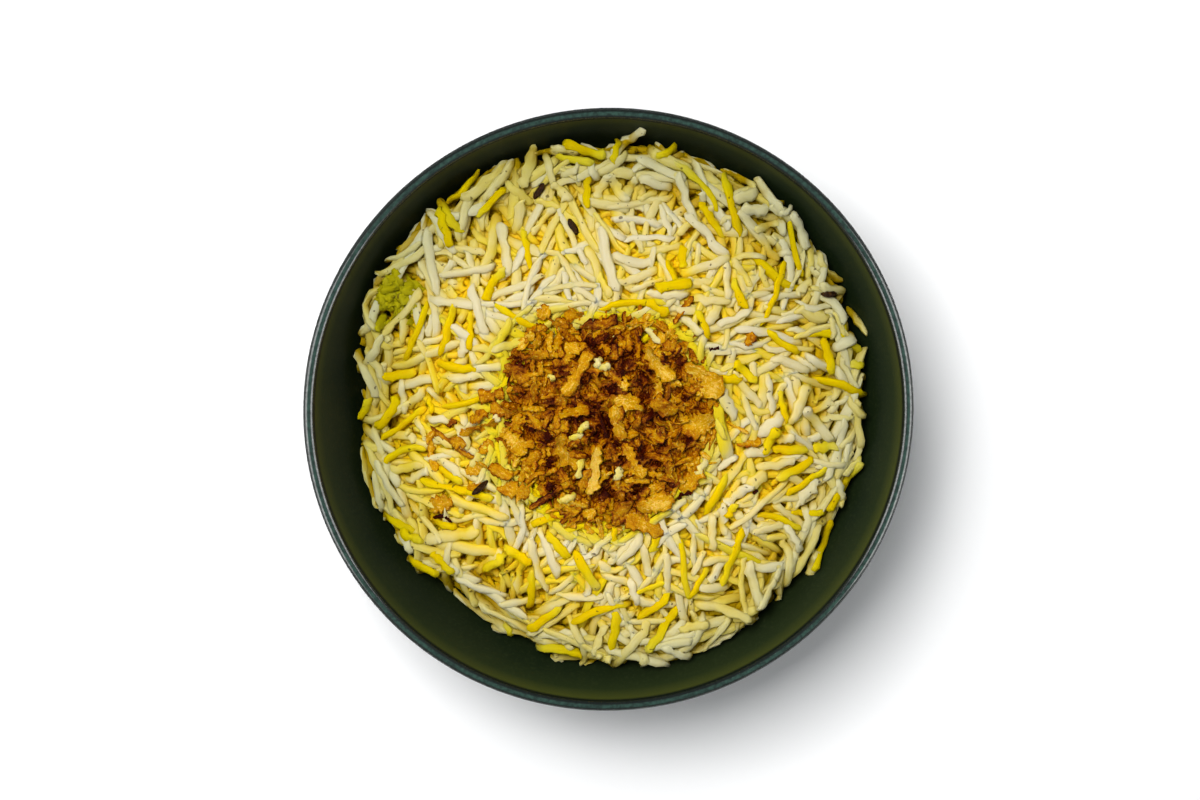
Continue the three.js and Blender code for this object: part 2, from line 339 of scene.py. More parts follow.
heapPlan = {
    "edgeLevel": 41.5,  # where the rice meets the wall
    "rise": 18.5,
    "fullness": 2.3,
    "wallGap": 0.45,
    "edgeGap": 2.2,
    "coreDepth": 3.2,  # from the bare heap down to the core that the grains lie on
    "grainsOver": 1.5,  # from the bare heap up to the middle of the top grains
    # where the edge lies higher or lower on the wall: direction, half width in degrees, and lift in mm
    "banks": ((290, 26, 5.0), (48, 30, 4.5), (92, 22, 4.0), (137, 22, 4.5), (180, 13, -4.5), (240, 12, -2.0)),
}
onionPlan = {
    "middle": (-2.0, -1.5),
    "radius": 25.4,
    "depth": 3.4,
    "dip": 2.4,  # how much lower the rice lies under the onion
}


def bankLift(angle):
    lift = 0.0
    for direction, halfWidth, height in heapPlan["banks"]:
        away = (np.degrees(angle) - direction + 180) % 360 - 180
        lift = lift + height * np.exp(-((away / halfWidth) ** 2))
    return lift


def heapRadius(angle):
    uneven = 0.9 * np.cos(2 * angle + 0.6) + 0.8 * np.cos(3 * angle - 1.9) + 0.5 * np.cos(7 * angle)
    lift = bankLift(angle)
    uneven = uneven + 0.5 * np.minimum(lift, 0)
    return wallRadius(heapPlan["edgeLevel"] + lift) - heapPlan["wallGap"] - heapPlan["edgeGap"] + uneven


# The bare heap: as in the solids, but with higher and lower banks at the edge.
def heapTop(x, y):
    angle = np.arctan2(y, x)
    lift = bankLift(angle)
    reach = np.minimum(1, np.hypot(x, y) / heapRadius(angle))
    waves = 0.6 * np.sin(x / 9 + 1) * np.cos(y / 11 - 0.4) + 0.4 * np.sin((x + y) / 8 + 2)
    dome = (heapPlan["rise"] - lift) * (1 - reach ** heapPlan["fullness"])
    return heapPlan["edgeLevel"] + lift + dome + waves * (1 - reach**6)


def onionRadius(angle):
    lobes = 1.5 * np.cos(angle - 0.5) + 1.2 * np.cos(3 * angle - 0.9) + 0.9 * np.cos(5 * angle + 1.2)
    return onionPlan["radius"] + lobes


# From 1 at the onion's middle to 0 at its edge, and negative outside.
def onionShare(x, y):
    middleX, middleY = onionPlan["middle"]
    distance = np.hypot(x - middleX, y - middleY)
    return 1 - distance / onionRadius(np.arctan2(y - middleY, x - middleX))


# How much the onion's oil has stained the rice beside it: most to the left.
def oilStain(x, y):
    middleX, middleY = onionPlan["middle"]
    angle = np.arctan2(y - middleY, x - middleX)
    spread = 0.13 + 0.22 * np.clip(np.cos(angle - math.radians(190)), 0, 1)
    return np.clip(1 + onionShare(x, y) / spread, 0, 1)


def riceLevel(x, y):
    return heapTop(x, y) - onionPlan["dip"] * np.clip(onionShare(x, y) * 8, 0, 1)


class Bed:
    # The top of all that lies in the bowl so far: heights on a square grid, seen from above.
    def __init__(self, cell, reach):
        self.cell = cell
        self.reach = reach
        line = np.arange(-reach, reach + cell / 2, cell)
        self.x, self.y = np.meshgrid(line, line, indexing="ij")
        distance = np.hypot(self.x, self.y)
        inside = distance < heapRadius(np.arctan2(self.y, self.x)) - 1.5
        core = riceLevel(self.x, self.y) - heapPlan["coreDepth"]
        wall = wallHeight(distance)
        self.height = np.where(inside, np.maximum(core, wall), wall)
        self.rice = np.where(inside, core, -1e3)  # the same without the wall
        self.kept = np.zeros_like(wall)  # 1 where a listed grain will lie

    def index(self, value):
        nearest = np.rint((value + self.reach) / self.cell).astype(int)
        return np.clip(nearest, 0, self.height.shape[0] - 1)

    def at(self, x, y):
        return self.height[self.index(x), self.index(y)]

    # Raises the grid over a string of balls.
    def cover(self, x, y, z, halfWidth, halfHeight):
        count = int(math.ceil(halfWidth.max() / self.cell))
        steps = np.arange(-count, count + 1)
        stepX, stepY = np.meshgrid(steps, steps, indexing="ij")
        nearX = self.index(x)[:, None, None] + stepX
        nearY = self.index(y)[:, None, None] + stepY
        nearX = np.clip(nearX, 0, self.height.shape[0] - 1)
        nearY = np.clip(nearY, 0, self.height.shape[0] - 1)
        wide = np.maximum(halfWidth, 1e-3)[:, None, None]
        away = np.hypot(self.x[nearX, nearY] - x[:, None, None], self.y[nearX, nearY] - y[:, None, None])
        top = z[:, None, None] + halfHeight[:, None, None] * np.sqrt(np.clip(1 - (away / wide) ** 2, 0, 1))
        top = np.where(away < wide, top, -1e3)
        np.maximum.at(self.height, (nearX, nearY), top)
        np.maximum.at(self.rice, (nearX, nearY), top)

    # The level of the highest grains near each cell.
    def envelope(self, radius):
        top = self.rice.copy()
        count = int(radius / self.cell)
        for axis in (0, 1):
            top = np.max([np.roll(top, step, axis) for step in range(-count, count + 1)], axis=0)
        for axis in (0, 1):
            top = np.mean([np.roll(top, step, axis) for step in range(-count, count + 1)], axis=0)
        return top


grainPlan = {
    "length": 15.8,
    "lengthSpread": 0.3,
    "broken": 0.1,  # share of the grains that are short
    "brokenLength": (4.5, 9.0),
    "width": 1.9,
    "widthSpread": 0.24,
    "flatness": 0.7,  # height over width
    "square": 0.72,  # 1 for a round section, less for a squarer one
    "skew": 0.9,  # how obliquely the ends are cut
    "turn": 0.75,  # radians that a grain bends from end to end, as a spread
    "hook": 0.55,
    "hooked": 0.28,  # share of the grains with a hooked end
    "blunt": (4.0, 24.0),  # power of the ends' roundness: low is pointed, high is blunt
    "taper": (-0.12, 0.26),
    "ripple": 0.1,  # unevenness from ring to ring, and from point to point
    "dents": 0.08,
    "waver": 0.18,
    "press": 0.6,  # how far grains sink into what they lie on
    "softness": 0.55,  # how much a grain sags into the gaps below it
    "sag": 1.8,  # the most that it curves up or down from its middle to its ends
    "wallGap": 0.35,
    "wallTouch": 0.05,  # the least that is left between a grain and the wall
    "lower": 1.0,  # how much grains look for low places
    "stained": 1.0,  # by the onion's oil
    "sides": 8,
}
stationCount = 10
share = -np.cos(np.linspace(0, np.pi, stationCount + 1))  # along a grain, closer towards its ends
sagFit = np.linalg.pinv(np.stack([share**0, share, share**2], axis=1))
sagSoft = np.stack([share**n for n in range(5)], axis=1)
sagSoft = sagSoft @ np.linalg.pinv(sagSoft)


# Random sizes for a number of grains.
def drawGrains(rng, count, plan):
    hooked = rng.uniform(0, 1, count) < plan["hooked"]
    blunt = rng.uniform(*plan["blunt"], (count, 2))
    taper = rng.uniform(*plan["taper"], (count, 2))
    power = np.where(share < 0, blunt[:, :1], blunt[:, 1:])
    ends = np.sqrt(np.clip(1 - np.abs(share) ** power, 0, 1))
    ends = ends * (1 - np.where(share < 0, taper[:, :1], taper[:, 1:]) * share**2)
    width = plan["width"] * (1 + plan["widthSpread"] * rng.uniform(-1, 1, count))
    rugged = plan["ripple"] * rng.uniform(0.3, 1.7, (count, 1))
    ripple = 1 + rugged * rng.normal(size=(count, stationCount + 1))
    whole = plan["length"] * (1 + plan["lengthSpread"] * rng.uniform(-1, 1, count))
    short = rng.uniform(*plan["brokenLength"], count)
    return {
        "length": np.where(rng.uniform(0, 1, count) < plan["broken"], short, whole),
        "turn": rng.normal(0, plan["turn"], count),
        "hook": np.where(hooked, plan["hook"] * rng.choice([-1, 1], count) * rng.uniform(0.5, 1.5, count), 0),
        "halfWidth": width[:, None] / 2 * ends * ripple,
        "roll": rng.uniform(-0.5, 0.5, count),
        "waver": plan["waver"] * rng.normal(size=(count, stationCount + 1)),
        "tone": rng.uniform(0, 1, count),
        "tint": np.where(rng.uniform(0, 1, count) < plan["tinted"], rng.uniform(0.2, 0.9, count), 0),
        "fade": rng.uniform(-0.8, 0.8, count),  # how the tint changes from end to end
        "skew": plan["skew"] * rng.uniform(-1, 1, (count, 2)),
    }


# The middle lines, seen from above, of one grain in a number of places.
def linesFor(x, y, heading, length, turn, hook):
    bend = turn * share / 2 + hook * np.clip((share - 0.3) / 0.7, 0, 1) ** 1.5 * 2
    angle = heading[:, None] + bend
    step = np.diff(share) * length / 2
    middle = (angle[:, 1:] + angle[:, :-1]) / 2
    start = np.zeros((len(x), 1))
    alongX = np.concatenate([start, np.cumsum(np.cos(middle) * step, axis=1)], axis=1)
    alongY = np.concatenate([start, np.cumsum(np.sin(middle) * step, axis=1)], axis=1)
    centre = stationCount // 2
    alongX += x[:, None] - alongX[:, centre : centre + 1]
    alongY += y[:, None] - alongY[:, centre : centre + 1]
    return alongX, alongY, angle


# How high a grain comes to lie: over the bumps below it, and touching on both sides of its middle.
def restOn(need, plan):
    fit = need @ sagFit.T
    sag = np.clip(fit[:, 2], -plan["sag"], plan["sag"])[:, None] * share**2
    left = need[:, : stationCount // 2] - sag[:, : stationCount // 2]
    right = need[:, stationCount // 2 + 1 :] - sag[:, stationCount // 2 + 1 :]
    leftShare = -share[: stationCount // 2]
    rightShare = share[stationCount // 2 + 1 :]
    span = leftShare[:, None] + rightShare[None, :]
    middle = (left[:, :, None] * rightShare + right[:, None, :] * leftShare[:, None]) / span
    level = np.maximum(middle.max(axis=(1, 2)), need[:, stationCount // 2])[:, None]
    lowest = ((right - level) / rightShare).max(axis=1)
    highest = ((level - left) / leftShare).min(axis=1)
    slope = np.minimum(np.maximum(fit[:, 1], lowest), highest)
    stiff = level + slope[:, None] * share + sag
    soft = np.minimum(stiff, need @ sagSoft.T)
    return stiff + plan["softness"] * (soft - stiff) - plan["press"], slope


def tryPlaces(bed, x, y, heading, length, turn, hook, halfWidth, plan):
    lineX, lineY, angle = linesFor(x, y, heading, length, turn, hook)
    halfHeight = halfWidth * plan["flatness"]
    need = np.full_like(lineX, -1)
    for aside in (-0.7, 0.0, 0.7):
        sideX = lineX - np.sin(angle) * halfWidth * aside
        sideY = lineY + np.cos(angle) * halfWidth * aside
        need = np.maximum(need, bed.at(sideX, sideY) + halfHeight * math.sqrt(1 - aside**2))
    lineZ, slope = restOn(need, plan)
    return lineX, lineY, lineZ, slope, need


def coverWith(bed, line, half, plan):
    fine = np.linspace(-1, 1, 30)
    x, y, z, wide = (np.interp(fine, share, values) for values in (*line.T, half))
    bed.cover(x, y, z, wide, wide * plan["flatness"])


# How far a line of balls reaches past the wall at its worst spot.
def beyondWall(lineX, lineY, lineZ, half, plan):
    return (np.hypot(lineX, lineY) + half - wallRadius(lineZ) + plan["wallGap"]).max(axis=1)


# Lays grains one by one, each in the best of a few random places.
def layGrains(bed, rng, count, plan, tries, allowance, reach):
    drawn = drawGrains(rng, count, plan)
    lines = []
    for i in range(count):
        around = rng.uniform(0, math.tau, tries)
        radius = heapRadius(around) * np.sqrt(rng.uniform(reach[0] ** 2, reach[1] ** 2, tries))
        heading = rng.uniform(0, math.tau, tries)
        half = drawn["halfWidth"][i]
        sizes = (drawn[key][i] for key in ("length", "turn", "hook"))
        place = (np.cos(around) * radius, np.sin(around) * radius, heading)
        lineX, lineY, lineZ, slope, need = tryPlaces(bed, *place, *sizes, half, plan)
        level = riceLevel(lineX, lineY)
        above = lineZ - level
        wantedSlope = (level[:, -1] - level[:, 0]) / 2
        score = plan["lower"] * above.mean(axis=1) + 0.35 * np.abs(slope - wantedSlope)
        score += 0.5 * (lineZ - need).mean(axis=1)
        score += plan["avoid"] * bed.kept[bed.index(lineX), bed.index(lineY)].mean(axis=1)
        score += 100 * (beyondWall(lineX, lineY, lineZ, half, plan) > 0)
        score += 100 * ((above + half).max(axis=1) > allowance)
        best = int(np.argmin(score))
        if score[best] < 50:
            line = np.stack([lineX[best], lineY[best], lineZ[best]], axis=1)
            lines.append((i, line))
            coverWith(bed, line, half, plan)
    return drawn, lines


# Lays grains where the photograph has them. A row is the middle in pixels, the heading and length,
# the turn from end to end, and how yellow the grain is.
def layByHand(bed, rng, rows, plan):
    drawn = drawGrains(rng, len(rows), plan)
    lines = []
    for i, (pixelX, pixelY, heading, length, turn, tint) in enumerate(rows):
        x, y = spotAt(pixelX, pixelY)
        drawn["tint"][i] = tint
        heading = np.array([math.radians(heading)])
        half = drawn["halfWidth"][i]
        seen = False
        for _ in range(ricePlan["rounds"]):
            place = (np.array([x]), np.array([y]), heading)
            lineX, lineY, lineZ, _, _ = tryPlaces(bed, *place, length, math.radians(turn), 0, half, plan)
            beyond = float(beyondWall(lineX, lineY, lineZ, half, plan)[0])
            if beyond > 0:
                inwards = 1 - (beyond + 0.05) / math.hypot(x, y)
                x, y = x * inwards, y * inwards
            elif not seen:
                seen = True
                x, y = spotAt(pixelX, pixelY, float(lineZ[0, stationCount // 2]))
            else:
                break
        line = np.stack([lineX[0], lineY[0], lineZ[0]], axis=1)
        lines.append((i, line))
        coverWith(bed, line, half, plan)
    return drawn, lines


# Marks where the listed grains will lie, so that the others leave most of the room to them.
def keepRoom(bed, rows):
    for pixelX, pixelY, heading, length, turn, _ in rows:
        x, y = spotAt(pixelX, pixelY)
        heading = np.array([math.radians(heading)])
        lineX, lineY, _ = linesFor(np.array([x]), np.array([y]), heading, length, math.radians(turn), 0)
        near = np.zeros_like(bed.kept, bool)
        for alongX, alongY in zip(lineX[0], lineY[0]):
            near |= (bed.x - alongX) ** 2 + (bed.y - alongY) ** 2 < ricePlan["room"] ** 2
        bed.kept[near] = 1


# A round body with poles at both ends, as a mesh to copy: for each point the ring that it is on and
# its angle round, then the faces, and a map of their corners.
def ringPattern(sides, rings):
    shape = bmesh.new()
    layer = shape.loops.layers.uv.new("around")
    bmesh.ops.create_uvsphere(shape, u_segments=sides, v_segments=rings, radius=1, calc_uvs=True)
    bmesh.ops.rotate(shape, verts=shape.verts, matrix=Matrix.Rotation(math.pi / 2, 3, "Y"))
    bmesh.ops.recalc_face_normals(shape, faces=shape.faces)
    shape.verts.index_update()
    points = np.array([v.co for v in shape.verts])
    turned = []
    for face in shape.faces:
        loops = list(face.loops)
        first = min(range(len(loops)), key=lambda k: loops[k].vert.index)
        turned.append(loops[first:] + loops[:first])
    turned.sort(key=lambda loops: [loop.vert.index for loop in loops])
    faces = [[loop.vert.index for loop in loops] for loops in turned]
    corners = np.array([loop[layer].uv for loops in turned for loop in loops])
    shape.free()
    ring = np.rint((1 - np.arccos(np.clip(points[:, 0], -1, 1)) / np.pi) * rings).astype(int)
    return ring, np.arctan2(points[:, 2], points[:, 1]), faces, corners


def unit(vectors):
    return vectors / np.maximum(np.linalg.norm(vectors, axis=-1, keepdims=True), 1e-9)


# Joins one copy of a pattern for each set of points into one mesh. Each copy has a cell of its own in
# the map named OFBake.
def joined(name, place, faces, corners, cellShape):
    count, points = place.shape[:2]
    mesh = bpy.data.meshes.new(name)
    shifted = [[i + n * points for i in face] for n in range(count) for face in faces]
    mesh.from_pydata((place.reshape(-1, 3) * mm).tolist(), [], shifted)
    rows = max(1, round(math.sqrt(count * cellShape)))
    columns = math.ceil(count / rows)
    cell = np.stack([np.arange(count) % columns, np.arange(count) // columns], axis=1)
    inner = 0.06 + 0.88 * corners[:, ::-1]
    atlas = (cell[:, None, :] + inner[None]) / np.array([columns, rows])
    mesh.uv_layers.new(name="OFBake").data.foreach_set("uv", atlas.astype(np.float32).ravel())
    return mesh


# A side direction and an up direction for each point of a number of lines, turned by a roll.
def framesAlong(line, roll):
    along = unit(np.gradient(line, axis=1))
    side = unit(np.cross(np.array([0.0, 0.0, 1.0]), along))
    up = np.cross(along, side)
    roll = np.reshape(roll, (len(line), -1, 1))
    return side * np.cos(roll) + up * np.sin(roll), up * np.cos(roll) - side * np.sin(roll)


def grainMesh(name, drawn, lines, plan, top):
    ring, around, faces, corners = ringPattern(plan["sides"], stationCount)
    chosen = np.array([i for i, _ in lines])
    line = np.array([points for _, points in lines])
    half = drawn["halfWidth"][chosen]
    side, up = framesAlong(line, drawn["roll"][chosen])
    line = line + side * drawn["waver"][chosen][:, :, None]
    dents = 1 + plan["dents"] * np.random.default_rng(len(lines)).normal(size=(len(lines), len(ring)))
    reach = half[:, ring] * dents
    waves = (np.cos(around), np.sin(around))
    across, lift = (np.sign(wave) * np.abs(wave) ** plan["square"] for wave in waves)
    place = line[:, ring] + side[:, ring] * (across * reach)[:, :, None]
    place = place + up[:, ring] * (lift * reach * plan["flatness"])[:, :, None]
    skew = np.where(share[ring] < 0, drawn["skew"][chosen][:, :1], drawn["skew"][chosen][:, 1:])
    slant = skew * across * reach * np.clip(np.abs(share[ring]) * 3 - 2, 0, 1)
    place = place + np.cross(side, up)[:, ring] * slant[:, :, None]
    away = np.hypot(place[:, :, 0], place[:, :, 1])
    inwards = np.minimum(1, (wallRadius(place[:, :, 2]) - plan["wallTouch"]) / np.maximum(away, 1))
    place[:, :, :2] *= inwards[:, :, None]
    mesh = joined(name, place, faces, corners, 2.0)
    tint = drawn["tint"][chosen][:, None] * (1 + drawn["fade"][chosen][:, None] * share[ring])
    stain = oilStain(place[:, :, 0], place[:, :, 1]) * plan["stained"]
    tint = tint + stain * (0.15 + 0.6 * drawn["tone"][chosen][:, None])
    setValues(mesh, "saffron", np.clip(tint, 0, 1).ravel())
    setValues(mesh, "tone", np.broadcast_to(drawn["tone"][chosen][:, None], tint.shape).ravel())
    # How far each point lies below the highest grains near it, and how far round to the grain's side it is:
    # these carry the painted shade.
    setValues(mesh, "depth", (top(place[:, :, 0], place[:, :, 1]) - place[:, :, 2]).ravel())
    setValues(mesh, "flank", np.broadcast_to(np.cos(around) ** 4, tint.shape).ravel())
    return mesh


def riceFinish():
    constants = {
        "Specular IOR Level": 0.02,
        "IOR": 1.4,
        "Subsurface Weight": 0.9,
        "Subsurface Radius": (1.0, 0.95, 0.8),
        "Subsurface Scale": 0.0006,
    }
    finish = Finish("steamedRice", constants)
    place = finish.place()
    tone = finish.attribute("tone")
    depth = finish.attribute("depth")
    mottle = finish.grainy(place, 420, 3, 0.6)
    fibres = finish.grainy(place, 1500, 3, 0.65)
    cloud = finish.grainy(place, 90, 2)
    level = finish.node("VectorMath", {"operation": "MULTIPLY"}, {0: place, 1: (1000, 1000, 0)})
    outwards = finish.node("VectorMath", {"operation": "LENGTH"}, {0: level}, 1).between(42, 58)
    white = finish.blend(tone, screen(217, 206, 170), screen(217, 198, 124))
    white = finish.blend((mottle - 0.4) * 0.8, white, screen(222, 212, 186))
    # Painted shade: grains lying deeper than their neighbours, and the sides of every grain, turn a darker
    # saturated yellow, less at the heap's edge; the noise and tone only vary it.
    creviceShade = (depth + (cloud - 0.5) * 3.2 + (tone**3) * 1.5 - 0.3).between(0.7, 2.6)
    creviceShade = (creviceShade + finish.attribute("flank") * 0.35) * (1 - outwards * 0.6)
    white = finish.blend(creviceShade, white, screen(226, 198, 42))
    tint = finish.attribute("saffron") * (0.85 + mottle * 0.3)
    yellows = [
        (0.0, screen(214, 198, 112)),
        (0.4, screen(218, 196, 36)),
        (0.75, screen(221, 192, 2)),
        (1.0, screen(221, 186, 0)),
    ]
    surface = finish.blend(tint.between(0.02, 0.2), white, finish.ramp(tint, yellows))
    leftwards = finish.node("SeparateXYZ", {}, {"Vector": place}, 0) * -1000
    upwards = finish.node("SeparateXYZ", {}, {"Vector": place}, 1) * 1000
    # Painted shade: the side of the heap towards the key lamp, at +y, is dimmed a little to even out its
    # light.
    surface = finish.blend(upwards.between(-30, 50), surface, screen(243, 245, 252), "MULTIPLY")
    # Painted shade of the bowl's wall: the heap's outer grains, more on the left, are dimmer and greener.
    edge = outwards * 0.8 + leftwards.between(38, 52) * 0.25
    surface = finish.blend(edge, surface, screen(217, 226, 214), "MULTIPLY")
    # Painted shade: grains deep in the heap take a darker yellow, darker still by the wall.
    low = finish.blend(outwards, screen(232, 188, 14), screen(150, 124, 6))
    surface = finish.blend(depth.between(1.6, 4.0), surface, low)
    surface = finish.blend(finish.attribute("mushy") * 0.94, surface, screen(150, 142, 6))
    speck = finish.grainy(place, 900, 0).between(0.8, 0.83)
    surface = finish.blend(speck * 0.7, surface, screen(60, 40, 18))
    rough = 0.42 + fibres * 0.2
    relief = finish.bump(fibres * 0.7 + mottle * 0.5, 0.00022, 0.55)
    return finish.wear({"Base Color": surface, "Roughness": rough, "Normal": relief})


def cuminFinish():
    finish = Finish("cuminHusk", {"Specular IOR Level": 0.05, "Roughness": 0.5})
    place = finish.place()
    streaks = finish.grainy(place, 1700, 2, 0.6)
    browns = [(0.3, screen(24, 11, 3)), (0.55, screen(46, 26, 7)), (0.8, screen(92, 62, 20))]
    husk = finish.ramp(streaks, browns)
    return finish.wear({"Base Color": husk, "Normal": finish.bump(streaks, 0.0003, 0.8)})


# Grains tinted by saffron.
saffronGrains = [
    (417, 332, 70, 15.2, 6, 1.0), (448, 331, 74, 12.8, 14, 1.0), (470, 330, 88, 9, 0, 0.9),
    (521, 320, -29, 14.8, 10, 1.0), (457, 368, -6, 9.4, 12, 1.0), (400, 374, 15, 8, 10, 0.9),
    (494, 283, 57, 9, 8, 0.9), (527, 250, -80, 9, 6, 1.0), (794, 249, -75, 14, 10, 0.95),
    (775, 295, 69, 16, 14, 1.0), (739, 295, -65, 7, 0, 0.9), (712, 221, -55, 10, 12, 1.0),
    (732, 206, -75, 15.2, 10, 1.0), (584, 145.5, -17, 10, 12, 1.0), (490, 203, 45, 9.2, 8, 1.0),
    (461, 184, 45, 11, 10, 0.95), (587, 190, 88, 8, 0, 0.9), (616, 147, 70, 5, 0, 0.7),
    (666, 153, 20, 5, 0, 0.8), (700, 182, -48, 16, -45, 0.5), (575, 160, -10, 9, 10, 0.4),
    (447, 215, -55, 9, 10, 0.6), (444, 228, -72, 9, 8, 0.8), (565, 512, 15, 17, -38, 1.0),
    (532, 590, 88, 11, 8, 1.0), (545, 619, 36, 10, 10, 1.0), (598, 610, 22, 16, -50, 1.0),
    (616, 531, 80, 6, 0, 0.9), (586, 571, -62, 11.2, 10, 0.7), (560, 649, -8, 10.7, -30, 0.6),
    (614, 631, 85, 10, 8, 0.75), (655, 607, 42, 10, 12, 0.95), (651, 587, 25, 7, 0, 0.6),
    (663, 629, 56, 13.2, 10, 0.7), (684, 570, -81, 15.8, 8, 0.65), (699, 584, 60, 9, 8, 1.0),
    (717, 496, 62, 11.3, 10, 1.0), (656, 541, 75, 5, 0, 0.9), (558, 546, -50, 8, 0, 0.7),
    (733, 558, 72, 15.3, 10, 0.75), (780, 519, -20, 12, -35, 0.8), (825, 545, 70, 13, 12, 0.95),
    (844, 485, 55, 14, 14, 0.75), (808, 514, 0, 8, 8, 0.9), (783, 343, -35, 10, 10, 0.85),
    (828, 356, -75, 9, 0, 0.95), (842, 385, -20, 14.3, -32, 1.0), (795, 470, 24, 10, 8, 0.9),
    (806, 480, 34, 11.8, 8, 0.9), (399, 524, -25, 8, 8, 0.7), (412, 538, -30, 6, 0, 0.6),
    (424, 567, -22, 8, 10, 0.85), (442, 563, -52, 7, 0, 0.75), (445, 525, -10, 6, 0, 0.9),
    (494, 563, 40, 7, 8, 0.6), (518, 555, -30, 7, 0, 0.85), (446, 487, -8, 12.7, 8, 1.0),
    (451, 476, -30, 6, 0, 0.9), (361, 408, 68, 6, 0, 0.7), (389, 414, 56, 9, 24, 0.95),
    (404, 424, 38, 13.7, 10, 1.0), (462, 404, 20, 10, 8, 1.0), (431, 405, -80, 4, 0, 0.8),
    (403, 450, 25, 11, -70, 0.7), (632, 302, 5, 16, -36, 1.0), (658, 308, -30, 6, 0, 0.9),
    (704, 325, -68, 7, 0, 0.9), (722, 379, -8, 9, 10, 0.95), (480, 495, -20, 6, 0, 0.8),
    (745, 372, -40, 7, 0, 0.7), (783, 407, -75, 8, 0, 0.8), (770, 441, 68, 7, 0, 0.7),
    (790, 450, -5, 9, 8, 0.8), (825, 447, 0, 6, 0, 0.4), (731, 511, 60, 4, 0, 0.9),
    (683, 257, -85, 5, 0, 1.0), (672, 273, -65, 6, 0, 0.9), (674, 285, 8, 8, 0, 0.9),
]
